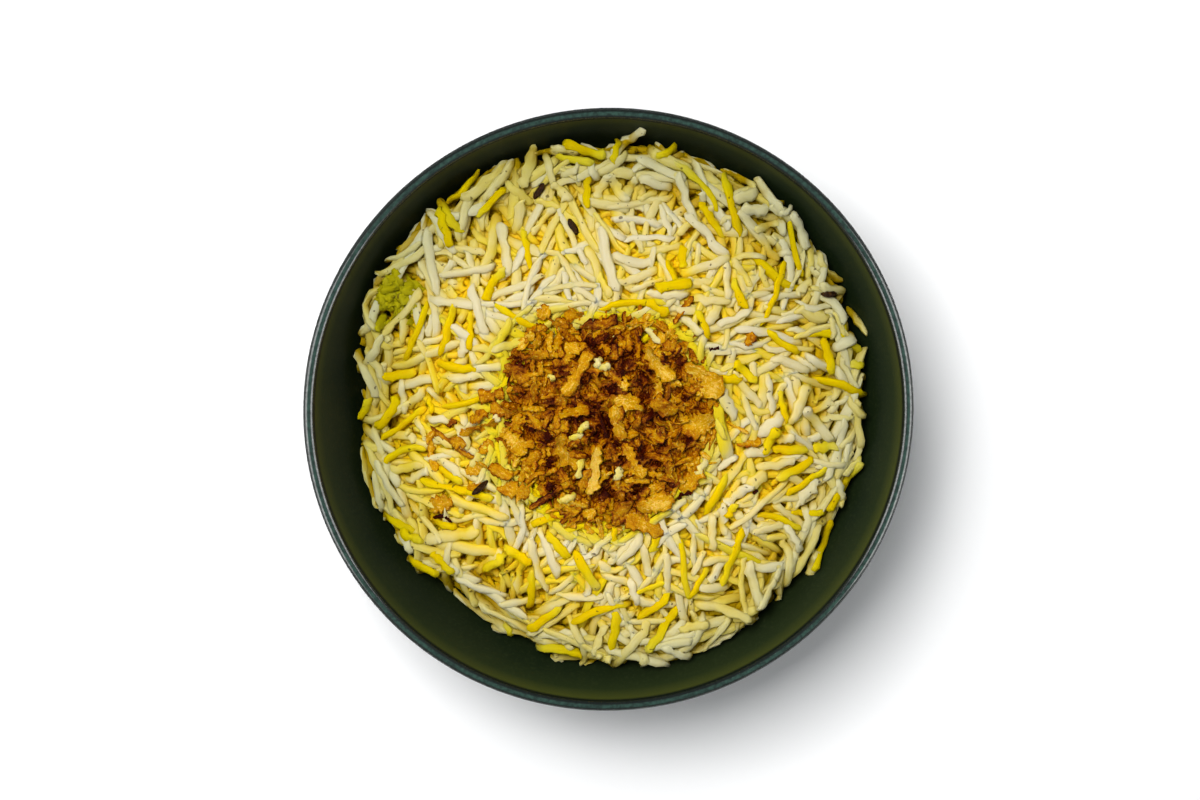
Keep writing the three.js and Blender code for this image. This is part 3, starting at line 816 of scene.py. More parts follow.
# White grains that stand out at the edge of the heap, or by their shape.
whiteGrains = [
    (575, 660, 8, 12, 8, 0), (597, 661, 25, 7, 0, 0), (644, 662, -70, 4.5, 0, 0),
    (669, 644, 12, 11, 10, 0), (745, 615, 30, 6, 20, 0), (750, 620, -30, 5, 0, 0),
    (482, 588, -20, 14, 8, 0), (477, 611, -38, 16, 30, 0), (508, 632, -60, 4, 0, 0.4),
    (499, 181, 52, 11.5, 8, 0), (546, 148, 4, 6, 0, 0), (519, 194, -40, 8, 14, 0),
    (467, 272, 12, 13, 8, 0), (510, 290, 22, 17, 8, 0), (580, 220, -62, 17, 8, 0),
    (455, 303, -5, 12, 6, 0), (478, 310, -75, 12, 4, 0), (503, 335, 60, 8, 6, 0),
    (484, 349, -8, 9, -40, 0), (508, 346, 15, 7, 50, 0), (431, 366, -70, 14, -25, 0),
    (460, 377, 5, 10, 25, 0), (378, 368, -62, 10, 12, 0), (537, 566, -72, 14, 25, 0),
    (549, 553, -68, 13.4, 6, 0), (634, 592, -72, 7, 0, 0), (667, 573, -86, 10, 0, 0),
    (630, 551, 53, 10, 6, 0), (646, 560, -80, 8.6, 4, 0), (588, 524, 15, 11.8, 12, 0),
    (742, 583, -88, 14, 20, 0), (754, 585, -75, 12, 10, 0), (714, 588, -7, 8, 6, 0),
    (489, 561, 50, 9, -20, 0), (521, 602, 7, 11, 10, 0), (599, 640, 70, 8, 6, 0),
    (628, 143, 43, 10, 8, 0), (828, 303, 10, 14, 100, 0), (832, 270, -48, 10, 60, 0),
    (815, 260, 85, 10, 10, 0), (858, 425, -80, 13, 8, 0), (365, 480, -75, 15, 10, 0),
    (378, 442, -70, 7, 0, 0), (402, 315, 49, 15, 10, 0), (398, 250, 31, 10, 10, 0),
    (361, 350, 60, 12, 12, 0), (365, 375, -65, 12, 12, 0), (554, 619, 33, 15, 14, 0),
    (632, 648, 55, 15, 10, 0), (717, 633, 58, 12, 8, 0), (677, 653, -26, 8, 0, 0),
    (860.5, 319.5, -55, 7.5, 0, 0), (378, 492, -80, 11, 6, 0), (388, 485, -60, 13, 12, 0),
    (407, 468, 15, 8, 30, 0), (425, 520, -50, 12, 10, 0), (403, 538, -55, 8, 0, 0),
    (439, 420, 0, 6, 0, 0), (451, 453, -12, 7, -30, 0), (455, 470, -45, 9, -50, 0),
    (418, 475, 38, 6, 0, 0), (463, 437, -65, 6, 0, 0.1), (403, 397, -88, 9, 6, 0),
    (437, 397, -50, 6, 0, 0), (481, 407, -5, 6, 0, 0), (421, 428, -65, 6, 0, 0),
    (412, 429, 20, 3.5, 0, 0), (803, 287, 42, 5, 0, 0), (836, 288, -18, 7, 20, 0),
    (812, 332, 18, 10, 12, 0), (849, 374, -60, 9, 10, 0), (858, 365, -5, 3.5, 0, 0.4),
    (804, 363, -35, 7, 0, 0), (819, 363, -30, 8, 6, 0), (857, 410, -50, 7, 0, 0),
    (822, 396, 20, 5, 0, 0), (838, 404, 40, 6, 0, 0), (801, 229, -65, 10, -50, 0),
    (567, 150, -5, 7, 0, 0), (550, 173, -75, 8.5, 12, 0), (571, 171, 30, 5, 0, 0),
    (593, 171, -60, 5, 0, 0), (614, 164, 35, 8, 10, 0), (617, 187, -62, 7.5, 0, 0),
    (602, 186, 62, 6, 0, 0), (561, 192, -45, 6, 0, 0), (548, 204, -15, 6, 0, 0),
    (518, 218, 78, 8, 8, 0), (543, 221, 50, 8, 14, 0), (571, 237, -62, 14, 8, 0),
    (606, 205, -10, 11, 8, 0.05), (640, 203, 8, 16, 10, 0), (637, 220, -6, 12, -15, 0),
    (649, 237, 0, 12, -30, 0), (665, 220, -72, 7.5, 0, 0), (687, 202, -65, 15, 10, 0),
    (601, 242, -80, 9, 0, 0), (609, 234, -52, 12, 8, 0.1), (806, 553, 65, 15, 12, 0),
    (815, 566, 75, 6, 0, 0), (843, 492, -70, 6, 0, 0), (781, 527, -25, 13, -80, 0),
    (790, 564, -85, 13, -50, 0), (767, 593, 60, 8, 0, 0), (723, 608, -15, 14, -20, 0),
    (855, 466, 45, 6, 0, 0.1), (694, 628, 15, 7, 0, 0),
    (630, 186, 62, 5, 0, 0.05), (656, 183, -18, 8, 6, 0), (647, 195, 18, 5, 0, 0),
    (686, 200, -69, 13, 8, 0), (707, 235, -46, 14, -8, 0), (703, 199, -80, 3.5, 0, 0),
    (739, 174, -25, 8.5, -10, 0), (770, 196, -50, 10, 8, 0), (758, 236, -52, 15.5, 6, 0),
    (766, 226, 15, 6, 0, 0), (789, 208, 20, 3.5, 0, 0), (786, 254, 0, 3.5, 0, 0),
    (749, 255, 0, 9, -60, 0), (742, 273, -55, 8, 10, 0), (763, 278, -70, 6, 30, 0),
    (706, 266, 20, 12.5, 20, 0), (727, 281, -88, 9, 0, 0), (667, 295, -5, 10, 8, 0),
    (712, 301, -6, 9, 0, 0), (632, 261, -12, 9.5, 20, 0), (607, 259, -78, 15, 10, 0),
    (637, 277, 18, 10, 6, 0), (647, 285, 18, 8.5, 0, 0), (605, 286, -60, 6, 0, 0),
    (698, 255, 80, 5, 0, 0.1), (735, 318, 25, 9, 30, 0), (691, 325, -35, 6, 0, 0),
    (740, 361, 18, 10.5, -25, 0), (791, 363, -22, 10, -25, 0), (746, 390, -52, 11, 6, 0),
    (753, 372, -85, 5, 0, 0), (770, 395, -82, 10, 6, 0), (713, 414, -62, 13, -10, 0),
    (801, 440, -40, 9.5, 12, 0), (817, 424, -50, 11, 8, 0), (837, 418, 8, 8, 0, 0.1),
    (837, 450, 74, 16, 8, 0), (785, 438, 0, 4, 0, 0), (727, 463, 38, 5.5, 0, 0),
    (776, 465, 8, 10, 15, 0), (760, 506, 38, 18, 6, 0), (790, 515, -42, 10.5, -20, 0),
    (769, 528, 5, 8, 0, 0), (794, 538, -58, 8, -10, 0), (837, 503, 10, 3, 0, 0),
    (712, 532, -88, 9, 0, 0), (723, 519, -85, 8, 0, 0),
]
# Thick ones, some of them two that stuck together.
stoutGrains = [
    (431, 262, -80, 16, 10, 0), (661, 169, -22, 12, 10, 0), (670, 161, -28, 11, 12, 0),
    (480, 508, -17, 14, 0, 0), (465, 548, -8, 17, 12, 0), (452, 536, 12, 13, 10, 0),
    (485, 180, 36, 14, 20, 0), (811, 314, -18, 8, 0, 0), (845, 343, 30, 5.5, 0, 0),
    (528, 162, 72, 10, 30, 0), (492, 243, 76, 13, 14, 0), (745, 196, 15, 6, 0, 0),
    (754, 210, 0, 6, 0, 0), (713, 314, 60, 6, 0, 0), (727, 403, -60, 9, 0, 0),
    (799, 406, 68, 10, 8, 0), (772, 425, 42, 8.5, 0, 0), (759, 452, 0, 7, 0, 0),
    (756, 481, 35, 6, 0, 0), (738, 494, 40, 7, 0, 0), (809, 491, 48, 6.5, 0, 0),
    (505, 249, -80, 12, -8, 0), (722, 432, -78, 14, 16, 0), (706, 455, 66, 12, 8, 0),
]
# Grains gone to a yellow mush at the left edge of the heap: the middle in pixels, and how far they
# lie from it in mm.
mushPlan = {
    "middle": (393, 292),
    "spread": (5.0, 9.0),
    "count": 30,
    "length": (3.0, 8.0),
    "tint": (0.25, 0.5),
}
# Cumin seeds and a brown bit, in rows like those of the grains.
cuminSeeds = [
    (539, 191, 59, 4.4, 6, 0), (480, 488, 41, 4.8, 6, 0), (829, 294, 0, 3.8, 0, 0),
    (573, 227, -60, 4.2, 10, 0),
]
# Bits of rice on the onion.
riceBits = [
    (598, 363, 60, 2.2, 0, 0.05), (604, 367, 10, 2.4, 0, 0.15), (583, 428, 40, 3, 0, 0.15),
    (619, 474, 70, 2.6, 0, 0.1), (552, 378, -70, 2.0, 0, 0.1), (567, 499, 20, 4, 0, 0),
    (653, 335, -50, 5, 0, 0.12), (497, 419, -60, 2.2, 0, 0), (702, 467, 60, 4, 0, 0.1),
    (580, 470, 80, 4.5, 0, 0.15), (576, 437, 10, 3, 0, 0.2),
]
ricePlan = {
    "seed": 11,
    "cell": 0.3,  # of the grid that the grains are laid on
    "gridReach": 66,
    "under": 1450,  # grains in the lower layers
    "top": 620,
    "fringe": 260,  # grains at the edge, which lean on the wall
    "allowance": (0.6, 2.4, 6.5),  # how far the grains may rise over the bare heap
    "reach": (0.0, 1.04),  # shares of the heap's radius that grains lie between
    "fringeReach": (0.93, 1.13),
    "tries": (10, 30),  # places tried for a lower grain, and for one on top
    "rounds": 6,  # in which a listed grain finds its place
    "room": 1.6,  # kept free on both sides of its middle line
    "nearby": 2.0,  # how far the highest grains count for a grain's depth
    "nearBits": 1.0,  # and for that of a bit or a seed
    "coreDeep": 5.0,  # the depth the core is coloured as, so that it takes the painted shade of the gaps
}


# What lies under the grains: solid down to the bowl's floor.
def coreShape(plan):
    gap = heapPlan["wallGap"]
    low = bowlPlan["floorLevel"] + gap
    edge = heapPlan["edgeLevel"] - heapPlan["coreDepth"] - 4
    sides = [(wallRadius(height) - gap * 1.2, height) for height in np.linspace(low, edge, 14)]
    radius = sides[-1][0]
    top = [(radius * part, edge) for part in np.linspace(0.97, 0, 36)]
    shape = spun([(0, low)] + sides + top, 120)
    for vertex in shape.verts:
        x, y, z = vertex.co / mm
        if z > edge - 0.01:
            part = math.hypot(x, y) / radius
            bumps = noise.noise(Vector((x, y, 0)) / 2.5) * 0.8
            level = float(riceLevel(x, y)) - heapPlan["coreDepth"] + bumps
            vertex.co.z = (edge + (level - edge) * min(1, (1 - part) * 14)) * mm
    return shape


def mushRows(rng, plan):
    rows = []
    for _ in range(plan["count"]):
        across, along = rng.normal(0, 0.5, 2) * plan["spread"] * pixelsPerMm
        length, tint = rng.uniform(*plan["length"]), rng.uniform(*plan["tint"])
        middleX, middleY = plan["middle"]
        rows.append((middleX + across, middleY + along, rng.uniform(0, 180), length, rng.normal(0, 30), tint))
    return rows


def dressRice(name, mesh, material):
    piece = objectFrom(name, mesh, material)
    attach(piece, "root")
    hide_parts("pilaf_rice")


def makeRice():
    bed = Bed(ricePlan["cell"], ricePlan["gridReach"])
    rng = np.random.default_rng(ricePlan["seed"])
    lowest, highest, leaning = ricePlan["allowance"]
    few, many = ricePlan["tries"]
    reach = ricePlan["reach"]
    underPlan = grainPlan | {"sides": 6, "tinted": 0.12, "avoid": 0}
    topPlan = grainPlan | {"tinted": 0.03, "avoid": 4.5}
    fringePlan = topPlan | {"lower": 0.3}
    stoutPlan = topPlan | {"width": 2.6, "widthSpread": 0.14, "ripple": 0.11}
    under = layGrains(bed, rng, ricePlan["under"], underPlan, few, lowest, reach)
    print("rice under:", len(under[1]), "grains")
    mushy = mushRows(rng, mushPlan)
    keepRoom(bed, saffronGrains + whiteGrains + stoutGrains + mushy)
    top = layGrains(bed, rng, ricePlan["top"], topPlan, many, highest, reach)
    fringe = layGrains(bed, rng, ricePlan["fringe"], fringePlan, many, leaning, ricePlan["fringeReach"])
    print("rice on top:", len(top[1]) + len(fringe[1]), "grains")
    softPlan = topPlan | {"press": 1.0, "softness": 0.9, "ripple": 0.3, "dents": 0.25, "width": 1.5}
    mush = layByHand(bed, rng, mushy, softPlan)
    stout = layByHand(bed, rng, stoutGrains, stoutPlan)
    white = layByHand(bed, rng, whiteGrains, topPlan)
    saffron = layByHand(bed, rng, saffronGrains, topPlan)
    print("rice by hand:", sum(len(laid[1]) for laid in (mush, stout, white, saffron)), "grains")
    envelope = bed.envelope(ricePlan["nearby"])

    def highestNear(x, y):
        return envelope[bed.index(x), bed.index(y)]

    finish = riceFinish()
    core = meshFromShape("rice_core", coreShape(heapPlan))
    setValues(core, "depth", np.full(len(core.vertices), ricePlan["coreDeep"]))
    dressRice("rice_core", core, finish)
    layers = (
        ("rice_under", under, underPlan),
        ("rice_top", top, topPlan),
        ("rice_fringe", fringe, fringePlan),
        ("rice_mush", mush, softPlan),
        ("rice_stout", stout, stoutPlan),
        ("rice_white", white, topPlan),
        ("rice_saffron", saffron, topPlan),
    )
    for name, laid, plan in layers:
        mesh = grainMesh(name, *laid, plan, highestNear)
        if name == "rice_mush":
            setValues(mesh, "mushy", np.ones(len(mesh.vertices)))
        dressRice(name, mesh, finish)
    return bed, finish


# What lies on the onion and the rice, once those are there: bits of rice and a few seeds.
def makeBits(bed, finish):
    rng = np.random.default_rng(ricePlan["seed"] + 1)
    bitPlan = grainPlan | {"tinted": 0, "press": 1.0, "stained": 0.05, "width": 1.5}
    seedPlan = bitPlan | {"width": 1.6, "widthSpread": 0.1, "blunt": (1.8, 2.6), "taper": (0, 0)}
    seedPlan |= {"press": 0.3, "ripple": 0.03, "dents": 0.02, "skew": 0, "square": 1, "waver": 0.04}
    bits = layByHand(bed, rng, riceBits, bitPlan)
    seeds = layByHand(bed, rng, cuminSeeds, seedPlan)
    top = bed.envelope(ricePlan["nearBits"])

    def highestNear(x, y):
        return top[bed.index(x), bed.index(y)]

    dressRice("rice_bits", grainMesh("rice_bits", *bits, bitPlan, highestNear), finish)
    dressRice("cumin_seeds", grainMesh("cumin_seeds", *seeds, seedPlan, highestNear), cuminFinish())


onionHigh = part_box("fried_onion")[1].z / mm
flakePlan = {
    "flakes": {"count": 330, "length": (2.2, 6.5), "width": (1.1, 2.8), "thick": (0.3, 0.6), "cup": 0.5},
    "shreds": {"count": 200, "length": (3.0, 8.0), "width": (0.6, 1.3), "thick": (0.35, 0.6), "cup": 0.2},
    "crumbs": {"count": 120, "length": (1.0, 2.6), "width": (0.8, 1.8), "thick": (0.4, 0.9), "cup": 0.2},
    "sides": 12,
    "rings": 15,
    "crinkle": ((2.2, 0.45), (0.9, 0.22)),  # sizes of the noise, and how far it moves the surface
    "ruffle": 0.5,
    "ragged": 0.2,
    "press": 0.7,
    "curl": 0.9,  # radians along a piece
    "sunk": 1.8,  # how much lower flakes lie in the onion's hollows
    "hollowShade": 0.6,  # and how much darker they are painted there, as the hollows' painted shade
    "over": {"laid": 0.2, "placed": 4.0},  # how far they may rise over the onion's form
    "nearby": 1.5,  # how far the highest pieces count for a piece's depth
    "seed": 5,
}
# Flakes where the photograph has them: the middle in pixels, the heading, length and width, and the
# tone from dark to pale.
placedFlakes = [
    (600, 325, 10, 9, 3, 0.45), (536, 356, 20, 6, 3, 0.5), (516, 372, -30, 7, 4, 0.55),
    (490, 395, 15, 6, 3.5, 0.5), (502, 410, -10, 7, 3, 0.45), (487, 425, 50, 5, 3, 0.75),
    (515, 441, -50, 7, 4, 0.8), (513, 489, -15, 8, 4, 0.6), (564, 450, -60, 9, 6, 0.8),
    (577, 374, 62, 12, 3.2, 0.8), (702, 378, -40, 12, 6, 0.9), (617, 422, -75, 9, 3.4, 0.9),
    (663, 406, -30, 7, 4, 0.7), (697, 424, 20, 8, 6, 0.8), (690, 480, 50, 8, 4.5, 0.6),
    (640, 520, -25, 13, 4.5, 0.6), (622, 512, 60, 8, 4, 0.5), (654, 503, 20, 9, 4.5, 0.85),
    (545, 498, 40, 10, 1.6, 0.25), (633, 459, -58, 10, 2.4, 0.8), (573, 412, 15, 7.5, 3.6, 0.8),
    (628, 402, -15, 7.5, 3.4, 0.95), (575, 347, 10, 5.5, 2.6, 0.95), (573, 314, 0, 4.4, 3.4, 0.85),
    (543, 313, 30, 3.6, 3, 0.7), (657, 363, -50, 10, 4, 1.0), (594, 472, 80, 12.5, 3.2, 1.25),
    (682, 311, 55, 8, 1.3, 0.3), (440, 503, 20, 6, 4.4, 0.7), (442, 517, 5, 5, 1.2, -0.6),
    (748, 442, 8, 5.6, 2.6, 0.6), (737, 427, -30, 6, 1.1, 0.9), (749, 339, 60, 3.4, 2.6, 0.35),
    (445, 439, -35, 10, 1.6, 0.35), (462, 452, -32, 8, 1.3, 0.4), (451, 423, 20, 3, 1.5, 0.1),
    (431, 455, -80, 8, 1.9, 0.8), (476, 469, 20, 5, 3, 0.85), (486, 447, 50, 4, 2.5, 0.7),
    (714, 351, 10, 2.4, 1.7, -1.6), (680, 497, 60, 2.2, 1.3, -0.8), (687, 493, 20, 1.9, 1.2, -0.8),
    (755, 492, 30, 1.6, 0.9, -0.4), (470, 430, 20, 5, 3, 0.55), (458, 442, -10, 4, 2.5, 0.5),
    (478, 416, 40, 5.5, 3, 0.5), (474, 486, 10, 4, 2, 0.5), (430, 437, 60, 4, 1.5, 0.6),
    (500, 470, -20, 6, 3, 0.55),
]
# Hollows where the onion lies lower and is painted darker as their shade: middle in pixels and radius in mm.
hollowSpots = [
    (517, 368, 3), (562, 370, 2), (589, 345, 2.5), (555, 385, 1.2), (586, 380, 2.5), (553, 403, 2),
    (595, 410, 3), (495, 388, 2.2), (522, 397, 1.5), (576, 421, 2), (605, 335, 3), (615, 341, 2.5),
    (629, 357, 2.5), (623, 367, 2.5), (646, 377, 2.5), (640, 385, 1.8), (645, 397, 2), (609, 391, 2),
    (665, 406, 1.5), (678, 363, 2.4), (684, 397, 1.5), (657, 422, 2.5), (604, 426, 3), (698, 346, 2.6),
    (546, 466, 2), (550, 495, 2), (605, 436, 2.5), (616, 446, 3), (642, 450, 2), (662, 453, 2.5),
    (657, 465, 2), (620, 461, 2), (609, 496, 2.5), (634, 499, 3), (546, 501, 2), (642, 460, 2),
    (667, 491, 2), (624, 521, 1.5), (590, 322, 2), (618, 320, 2), (640, 340, 2), (530, 430, 1.8),
    (545, 445, 2.0), (690, 440, 2.0),
]
onionCorePlan = {
    "cells": 150,
    "reach": 0.93,
    "ragged": 0.22,
    "clumps": ((5.5, 1.3), (2.6, 1.0), (1.2, 0.6), (0.6, 0.3)),  # sizes of the noise and its heights
    "over": 0.3,  # above the rice below it
    "nearby": 1.2,  # how far the highest grains count for that
}


def onionTop(x, y):
    reach = np.clip(1 - onionShare(x, y), 0, 1)
    crags = 0.5 * np.sin(x / 2.9) * np.sin(y / 3.3 + 1) + 0.4 * np.sin((x - y) / 4.1)
    thick = onionPlan["depth"] * np.sqrt(1 - 0.75 * reach**3) + crags * (1 - reach**4)
    return heapTop(x, y) + thick + 0.5


# From 0 to 1 in the middle of a hollow.
def hollowAt(x, y):
    hollowShade = np.zeros_like(x)
    for pixelX, pixelY, radius in hollowSpots:
        spotX, spotY = spotAt(pixelX, pixelY, onionHigh - 3)
        hollowShade = np.maximum(hollowShade, np.exp(-((x - spotX) ** 2 + (y - spotY) ** 2) / radius**2))
    return hollowShade


def drawFlakes(rng, kind):
    count = kind["count"]
    around = rng.uniform(0, math.tau, count)
    spread = np.sqrt(rng.uniform(0, 1, count)) * 0.97
    middleX, middleY = onionPlan["middle"]
    radius = onionRadius(around) * spread
    return {
        "x": middleX + np.cos(around) * radius,
        "y": middleY + np.sin(around) * radius,
        "heading": rng.uniform(0, math.tau, count),
        "length": rng.uniform(*kind["length"], count),
        "width": rng.uniform(*kind["width"], count),
        "thick": rng.uniform(*kind["thick"], count),
        "cup": kind["cup"] * rng.normal(0, 1, count),
        "tone": rng.beta(2.2, 2.6, count) + 0.25 * spread**4,
    }


def flakesFrom(rng, rows):
    pixelX, pixelY, heading, length, width, tone = np.array(rows, float).T
    x, y = np.transpose([spotAt(*pixel) for pixel in zip(pixelX, pixelY)])
    return {
        "x": x,
        "y": y,
        "heading": np.radians(heading),
        "length": length,
        "width": width,
        "thick": rng.uniform(0.4, 0.7, len(rows)),
        "cup": rng.normal(0, 0.4, len(rows)),
        "tone": tone,
    }


# A push in some direction for each spot, which is the same in every run.
def wrinkle(spot):
    return [noise.noise(spot + Vector(apart)) for apart in ((0, 0, 0), (31, 7, 13), (5, 43, 29))]


def layFlakes(bed, rng, drawn, plan, over):
    rings = plan["rings"]
    along = np.linspace(-1, 1, rings + 1)
    ring, around, faces, corners = ringPattern(plan["sides"], rings)
    places = []
    for i in range(len(drawn["x"])):
        width, length, thick = (drawn[key][i] for key in ("width", "length", "thick"))
        turn, curl, roll, twist = rng.normal(0, (0.7, plan["curl"], 0.45, 0.5))
        ragged = 1 + plan["ragged"] * rng.normal(size=rings + 1)
        ends = np.sqrt(np.clip(1 - np.abs(along) ** rng.uniform(2, 6), 0, 1))
        half = width / 2 * ends * np.clip(ragged, 0.35, 1.8)
        turned = drawn["heading"][i] + turn * along / 2
        lineX = drawn["x"][i] + np.cumsum(np.cos(turned)) * length / rings
        lineY = drawn["y"][i] + np.cumsum(np.sin(turned)) * length / rings
        lineX += drawn["x"][i] - lineX[rings // 2]
        lineY += drawn["y"][i] - lineY[rings // 2]
        ground = bed.at(lineX, lineY)
        fit = np.polyfit(along, ground, 1)
        rest = np.polyval(fit, along)
        rest = rest + 0.75 * np.max(ground - rest) + thick - plan["press"]
        arch = length / 2 * (1 - np.cos(curl * along / 2)) * np.sign(rng.uniform(-1, 1.6)) * 0.8
        line = np.stack([lineX, lineY, rest + arch - arch.min() * 0.6], axis=1)
        side, up = framesAlong(line[None], (roll + twist * along)[None])
        across = np.cos(around) * half[ring]
        lift = np.sin(around) * thick / 2 * ends[ring] ** 0.5
        edge = (across / (width / 2)) ** 2
        phase = rng.uniform(0, math.tau, 2)
        ruffle = np.sin(along[ring] * length * 1.1 + phase[0] + np.sign(across) * phase[1])
        lift = lift + drawn["cup"][i] * edge * width / 4
        lift = lift + plan["ruffle"] * ruffle * np.minimum(edge, 1.5) * width / 5
        place = line[ring] + side[0][ring] * across[:, None] + up[0][ring] * lift[:, None]
        middle = line[ring] + side[0][ring] * across[:, None]
        for size, height in plan["crinkle"]:
            shift = Vector(rng.uniform(-50, 50, 3))
            wrinkled = [wrinkle(Vector(point) / size + shift) for point in middle]
            place = place + np.array(wrinkled) * height * min(1, width / 2)
        sunk = hollowAt(lineX, lineY).mean() * plan["sunk"]
        limit = np.minimum(onionTop(place[:, 0], place[:, 1]) + over - sunk, onionHigh - 0.1)
        highest = (place[:, 2] - limit).max()
        place[:, 2] -= max(0, highest)
        places.append(place)
        bed.cover(*place.T, np.full(len(place), 0.5), np.full(len(place), 0.1))
    return np.array(places), faces, corners, around, along[ring]


def onionFinish():
    constants = {
        "Specular IOR Level": 0.04,
        "IOR": 1.45,
        "Subsurface Weight": 0.3,
        "Subsurface Radius": (1.0, 0.5, 0.1),
        "Subsurface Scale": 0.0008,
    }
    finish = Finish("friedOnion", constants)
    place = finish.place()
    tone = finish.attribute("tone")
    depth = finish.attribute("depth")
    patches = finish.grainy(place, 330, 3, 0.6)
    crackle = finish.grainy(place, 1300, 3, 0.7)
    glints = finish.grainy(place, 2600, 1)
    along = finish.attribute("along") * 0.22
    strands = finish.node("CombineXYZ", {}, {0: finish.attribute("across"), 1: along})
    veins = finish.grainy(strands, 1.7, 2, 0.6)
    # Painted shade: pieces that lie deeper below the top ones are darker, as are those in the hollows through
    # their tone; the rest is the onion's own browning.
    deep = depth.between(0.2, 3.2)
    uneven = (patches - 0.5) * 0.6 + (crackle - 0.5) * 0.8 + (veins - 0.5) * 0.9
    browningAndShade = tone * 0.65 + uneven - deep * 0.2 + 0.3
    browns = [
        (0.0, screen(50, 8, 0)),
        (0.15, screen(92, 34, 0)),
        (0.33, screen(146, 80, 0)),
        (0.52, screen(182, 122, 0)),
        (0.8, screen(202, 150, 4)),
        (1.0, screen(222, 178, 64)),
    ]
    colour = finish.ramp(browningAndShade, browns)
    # Painted highlights: small pale glints mixed into the colour.
    paintedGlints = (glints * 0.6 + crackle * 0.4 + browningAndShade * 0.2).between(0.72, 0.84)
    colour = finish.blend(paintedGlints * 0.35, colour, screen(240, 204, 120))
    rough = 0.42 + patches * 0.2 + crackle * 0.15
    relief = finish.bump(crackle * 0.5 + patches * 0.3 + glints * 0.3 + veins * 0.6, 0.0005, 0.9)
    return finish.wear({"Base Color": colour, "Roughness": rough, "Normal": relief})


# The matted onion below the loose flakes: a sheet with clumps that lies over the rice.
def onionCoreShape(level, plan):
    shape = bmesh.new()
    cells = plan["cells"]
    size = onionPlan["radius"] * 1.15
    bmesh.ops.create_grid(shape, x_segments=cells, y_segments=cells, size=size)
    middleX, middleY = onionPlan["middle"]
    bmesh.ops.translate(shape, verts=shape.verts, vec=(middleX, middleY, 0))

    def within(spot):
        ragged = noise.fractal(Vector((spot.x, spot.y, 9)) / 4, 1.0, 2.0, 3) * plan["ragged"]
        return float(onionShare(spot.x, spot.y)) - (1 - plan["reach"]) + ragged

    outside = [v for v in shape.verts if within(v.co) < 0]
    bmesh.ops.delete(shape, geom=outside, context="VERTS")
    extruded = bmesh.ops.extrude_face_region(shape, geom=shape.faces[:])
    raised = {item for item in extruded["geom"] if isinstance(item, bmesh.types.BMVert)}
    for vertex in shape.verts:
        x, y = vertex.co.x, vertex.co.y
        edge = min(1, max(0, within(vertex.co)) * 7) ** 0.5
        low = float(riceLevel(x, y)) - 1.5
        thick = 0.0
        for scale, height in plan["clumps"]:
            wave = noise.noise(Vector((x, y, scale)) / scale)
            thick += height * (abs(wave) * 1.6 - 0.4 if scale < 3 else wave)
        top = float(level(x, y)) + plan["over"] + max(0, thick) * edge - 1.6 * (1 - edge)
        top = min(top, float(onionTop(x, y)) - 0.5, onionHigh - 0.4)
        vertex.co.z = max(low + 0.2, top) if vertex in raised else low
    bmesh.ops.scale(shape, verts=shape.verts, vec=(mm, mm, mm))
    bmesh.ops.recalc_face_normals(shape, faces=shape.faces)
    return shape


def makeOnion(bed):
    rng = np.random.default_rng(flakePlan["seed"])
    finish = onionFinish()
    riceTop = bed.envelope(onionCorePlan["nearby"])

    def riceAt(x, y):
        return riceTop[bed.index(x), bed.index(y)]

    core = meshFromShape("onion_core", onionCoreShape(riceAt, onionCorePlan))
    flat = np.empty(len(core.vertices) * 3)
    core.vertices.foreach_get("co", flat)
    spots = flat.reshape(-1, 3) / mm
    bed.cover(*spots.T, np.full(len(spots), 0.4), np.full(len(spots), 0.05))
    made = []
    for name in ("shreds", "crumbs", "flakes", "placed"):
        placed = name == "placed"
        drawn = flakesFrom(rng, placedFlakes) if placed else drawFlakes(rng, flakePlan[name])
        laid = layFlakes(bed, rng, drawn, flakePlan, flakePlan["over"]["placed" if placed else "laid"])
        made.append((name, drawn, *laid))
    envelope = bed.envelope(flakePlan["nearby"])
    setValues(core, "depth", envelope[bed.index(spots[:, 0]), bed.index(spots[:, 1])] - spots[:, 2])
    # Painted shade: the matted core takes a low tone so the gaps between the flakes read dark, darker still
    # in the hollows.
    setValues(core, "tone", 0.35 - flakePlan["hollowShade"] * 0.5 * hollowAt(spots[:, 0], spots[:, 1]))
    setValues(core, "across", spots[:, 0] * 2)
    setValues(core, "along", spots[:, 1] * 4)
    pieces = [("onion_core", core)]
    for name, drawn, places, faces, corners, around, along in made:
        mesh = joined("onion_" + name, places, faces, corners, 2.0)
        top = envelope[bed.index(places[:, :, 0]), bed.index(places[:, :, 1])]
        setValues(mesh, "depth", (top - places[:, :, 2]).ravel())
        # Painted shade: flakes in the hollows are darker.
        hollowShade = hollowAt(places[:, :, 0], places[:, :, 1])
        rim = np.maximum(np.cos(around) ** 4, np.abs(along) ** 10)
        tone = drawn["tone"][:, None] + 0.05 - 0.5 * rim - flakePlan["hollowShade"] * hollowShade
        setValues(mesh, "tone", tone.ravel())
        shift = np.arange(len(places))[:, None] * 17.3
        setValues(mesh, "across", (drawn["width"][:, None] / 2 * np.cos(around) + shift).ravel())
        setValues(mesh, "along", (drawn["length"][:, None] / 2 * along + shift).ravel())
        pieces.append(("onion_" + name, mesh))
    for name, mesh in pieces:
        piece = objectFrom(name, mesh, finish)
        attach(piece, "root")
        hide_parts("fried_onion")
        print("onion:", name, len(mesh.polygons), "faces")


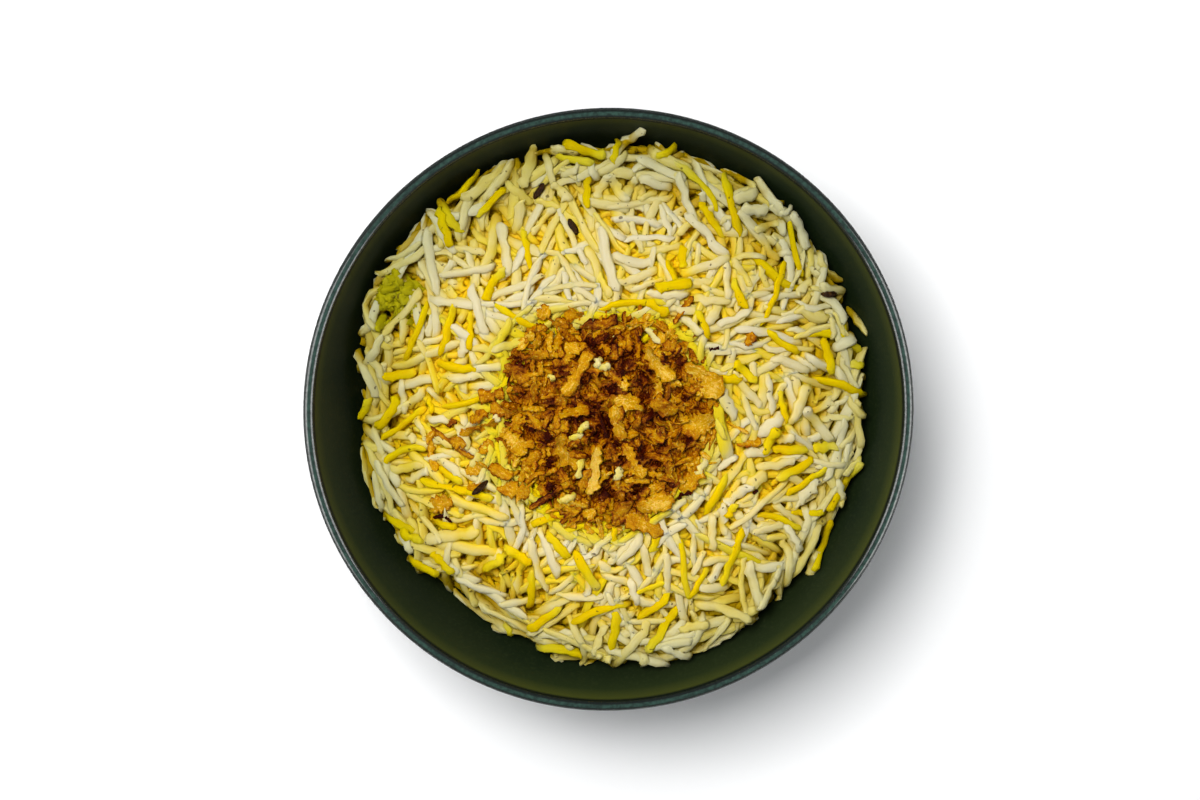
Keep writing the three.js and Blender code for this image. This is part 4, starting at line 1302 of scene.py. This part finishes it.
lightPlan = {
    "key": {"from": (-0.24, 0.35, 0.93), "distance": 1.3, "size": (0.46, 0.46), "power": 17.5},
    "left": {"from": (-0.8, -0.15, 0.55), "distance": 1.2, "size": (1.2, 0.8), "power": 26.0},
    "right": {"from": (0.8, -0.15, 0.55), "distance": 1.2, "size": (1.2, 0.8), "power": 26.0},
    "sky": 0.33,
}


def makeFloor():
    shape = bmesh.new()
    bmesh.ops.create_circle(shape, cap_ends=True, segments=64, radius=4)
    constants = {"Base Color": (0.95, 0.95, 0.95, 1), "Specular IOR Level": 0.0, "Roughness": 1}
    finish = Finish("whiteFloor", constants)
    floor = objectFrom("floor", meshFromShape("floor", shape), finish.material, smooth=False)


def makeLights():
    for name in ("key", "left", "right"):
        plan = lightPlan[name]
        lamp = bpy.data.lights.new(name, "AREA")
        lamp.shape = "RECTANGLE"
        lamp.size, lamp.size_y = plan["size"]
        lamp.energy = plan["power"]
        holder = bpy.data.objects.new(name, lamp)
        away = Vector(plan["from"]).normalized()
        holder.location = away * plan["distance"]
        holder.rotation_euler = away.to_track_quat("Z", "Y").to_euler()
        holder.visible_diffuse = name == "key"  # the side lights only make the gloss
        holder.visible_glossy = name != "key"
        bpy.context.scene.collection.objects.link(holder)
    world = bpy.data.worlds.new("softSky")
    world.use_nodes = True
    sky = world.node_tree.nodes["Background"]
    sky.inputs["Color"].default_value = (0.95, 0.98, 1.0, 1)
    sky.inputs["Strength"].default_value = lightPlan["sky"]
    bpy.context.scene.world = world
    bpy.context.scene.view_settings.view_transform = "Standard"


def makeCamera():
    lens = bpy.data.cameras.new("camera")
    lens.lens = cameraPlan["lens"]
    lens.sensor_width = cameraPlan["sensor"]
    lens.sensor_fit = "HORIZONTAL"
    camera = bpy.data.objects.new("camera", lens)
    right, up, back = cameraAxes()
    turn = Matrix((right, up, back)).transposed().to_4x4()
    eye = (cameraMiddle + back * cameraPlan["distance"]) * mm
    camera.matrix_world = Matrix.Translation(eye) @ turn
    bpy.context.scene.collection.objects.link(camera)
    bpy.context.scene.camera = camera


makeCamera()
makeLights()
makeFloor()
makeBowl()
bed, riceLook = makeRice()
makeOnion(bed)
makeBits(bed, riceLook)
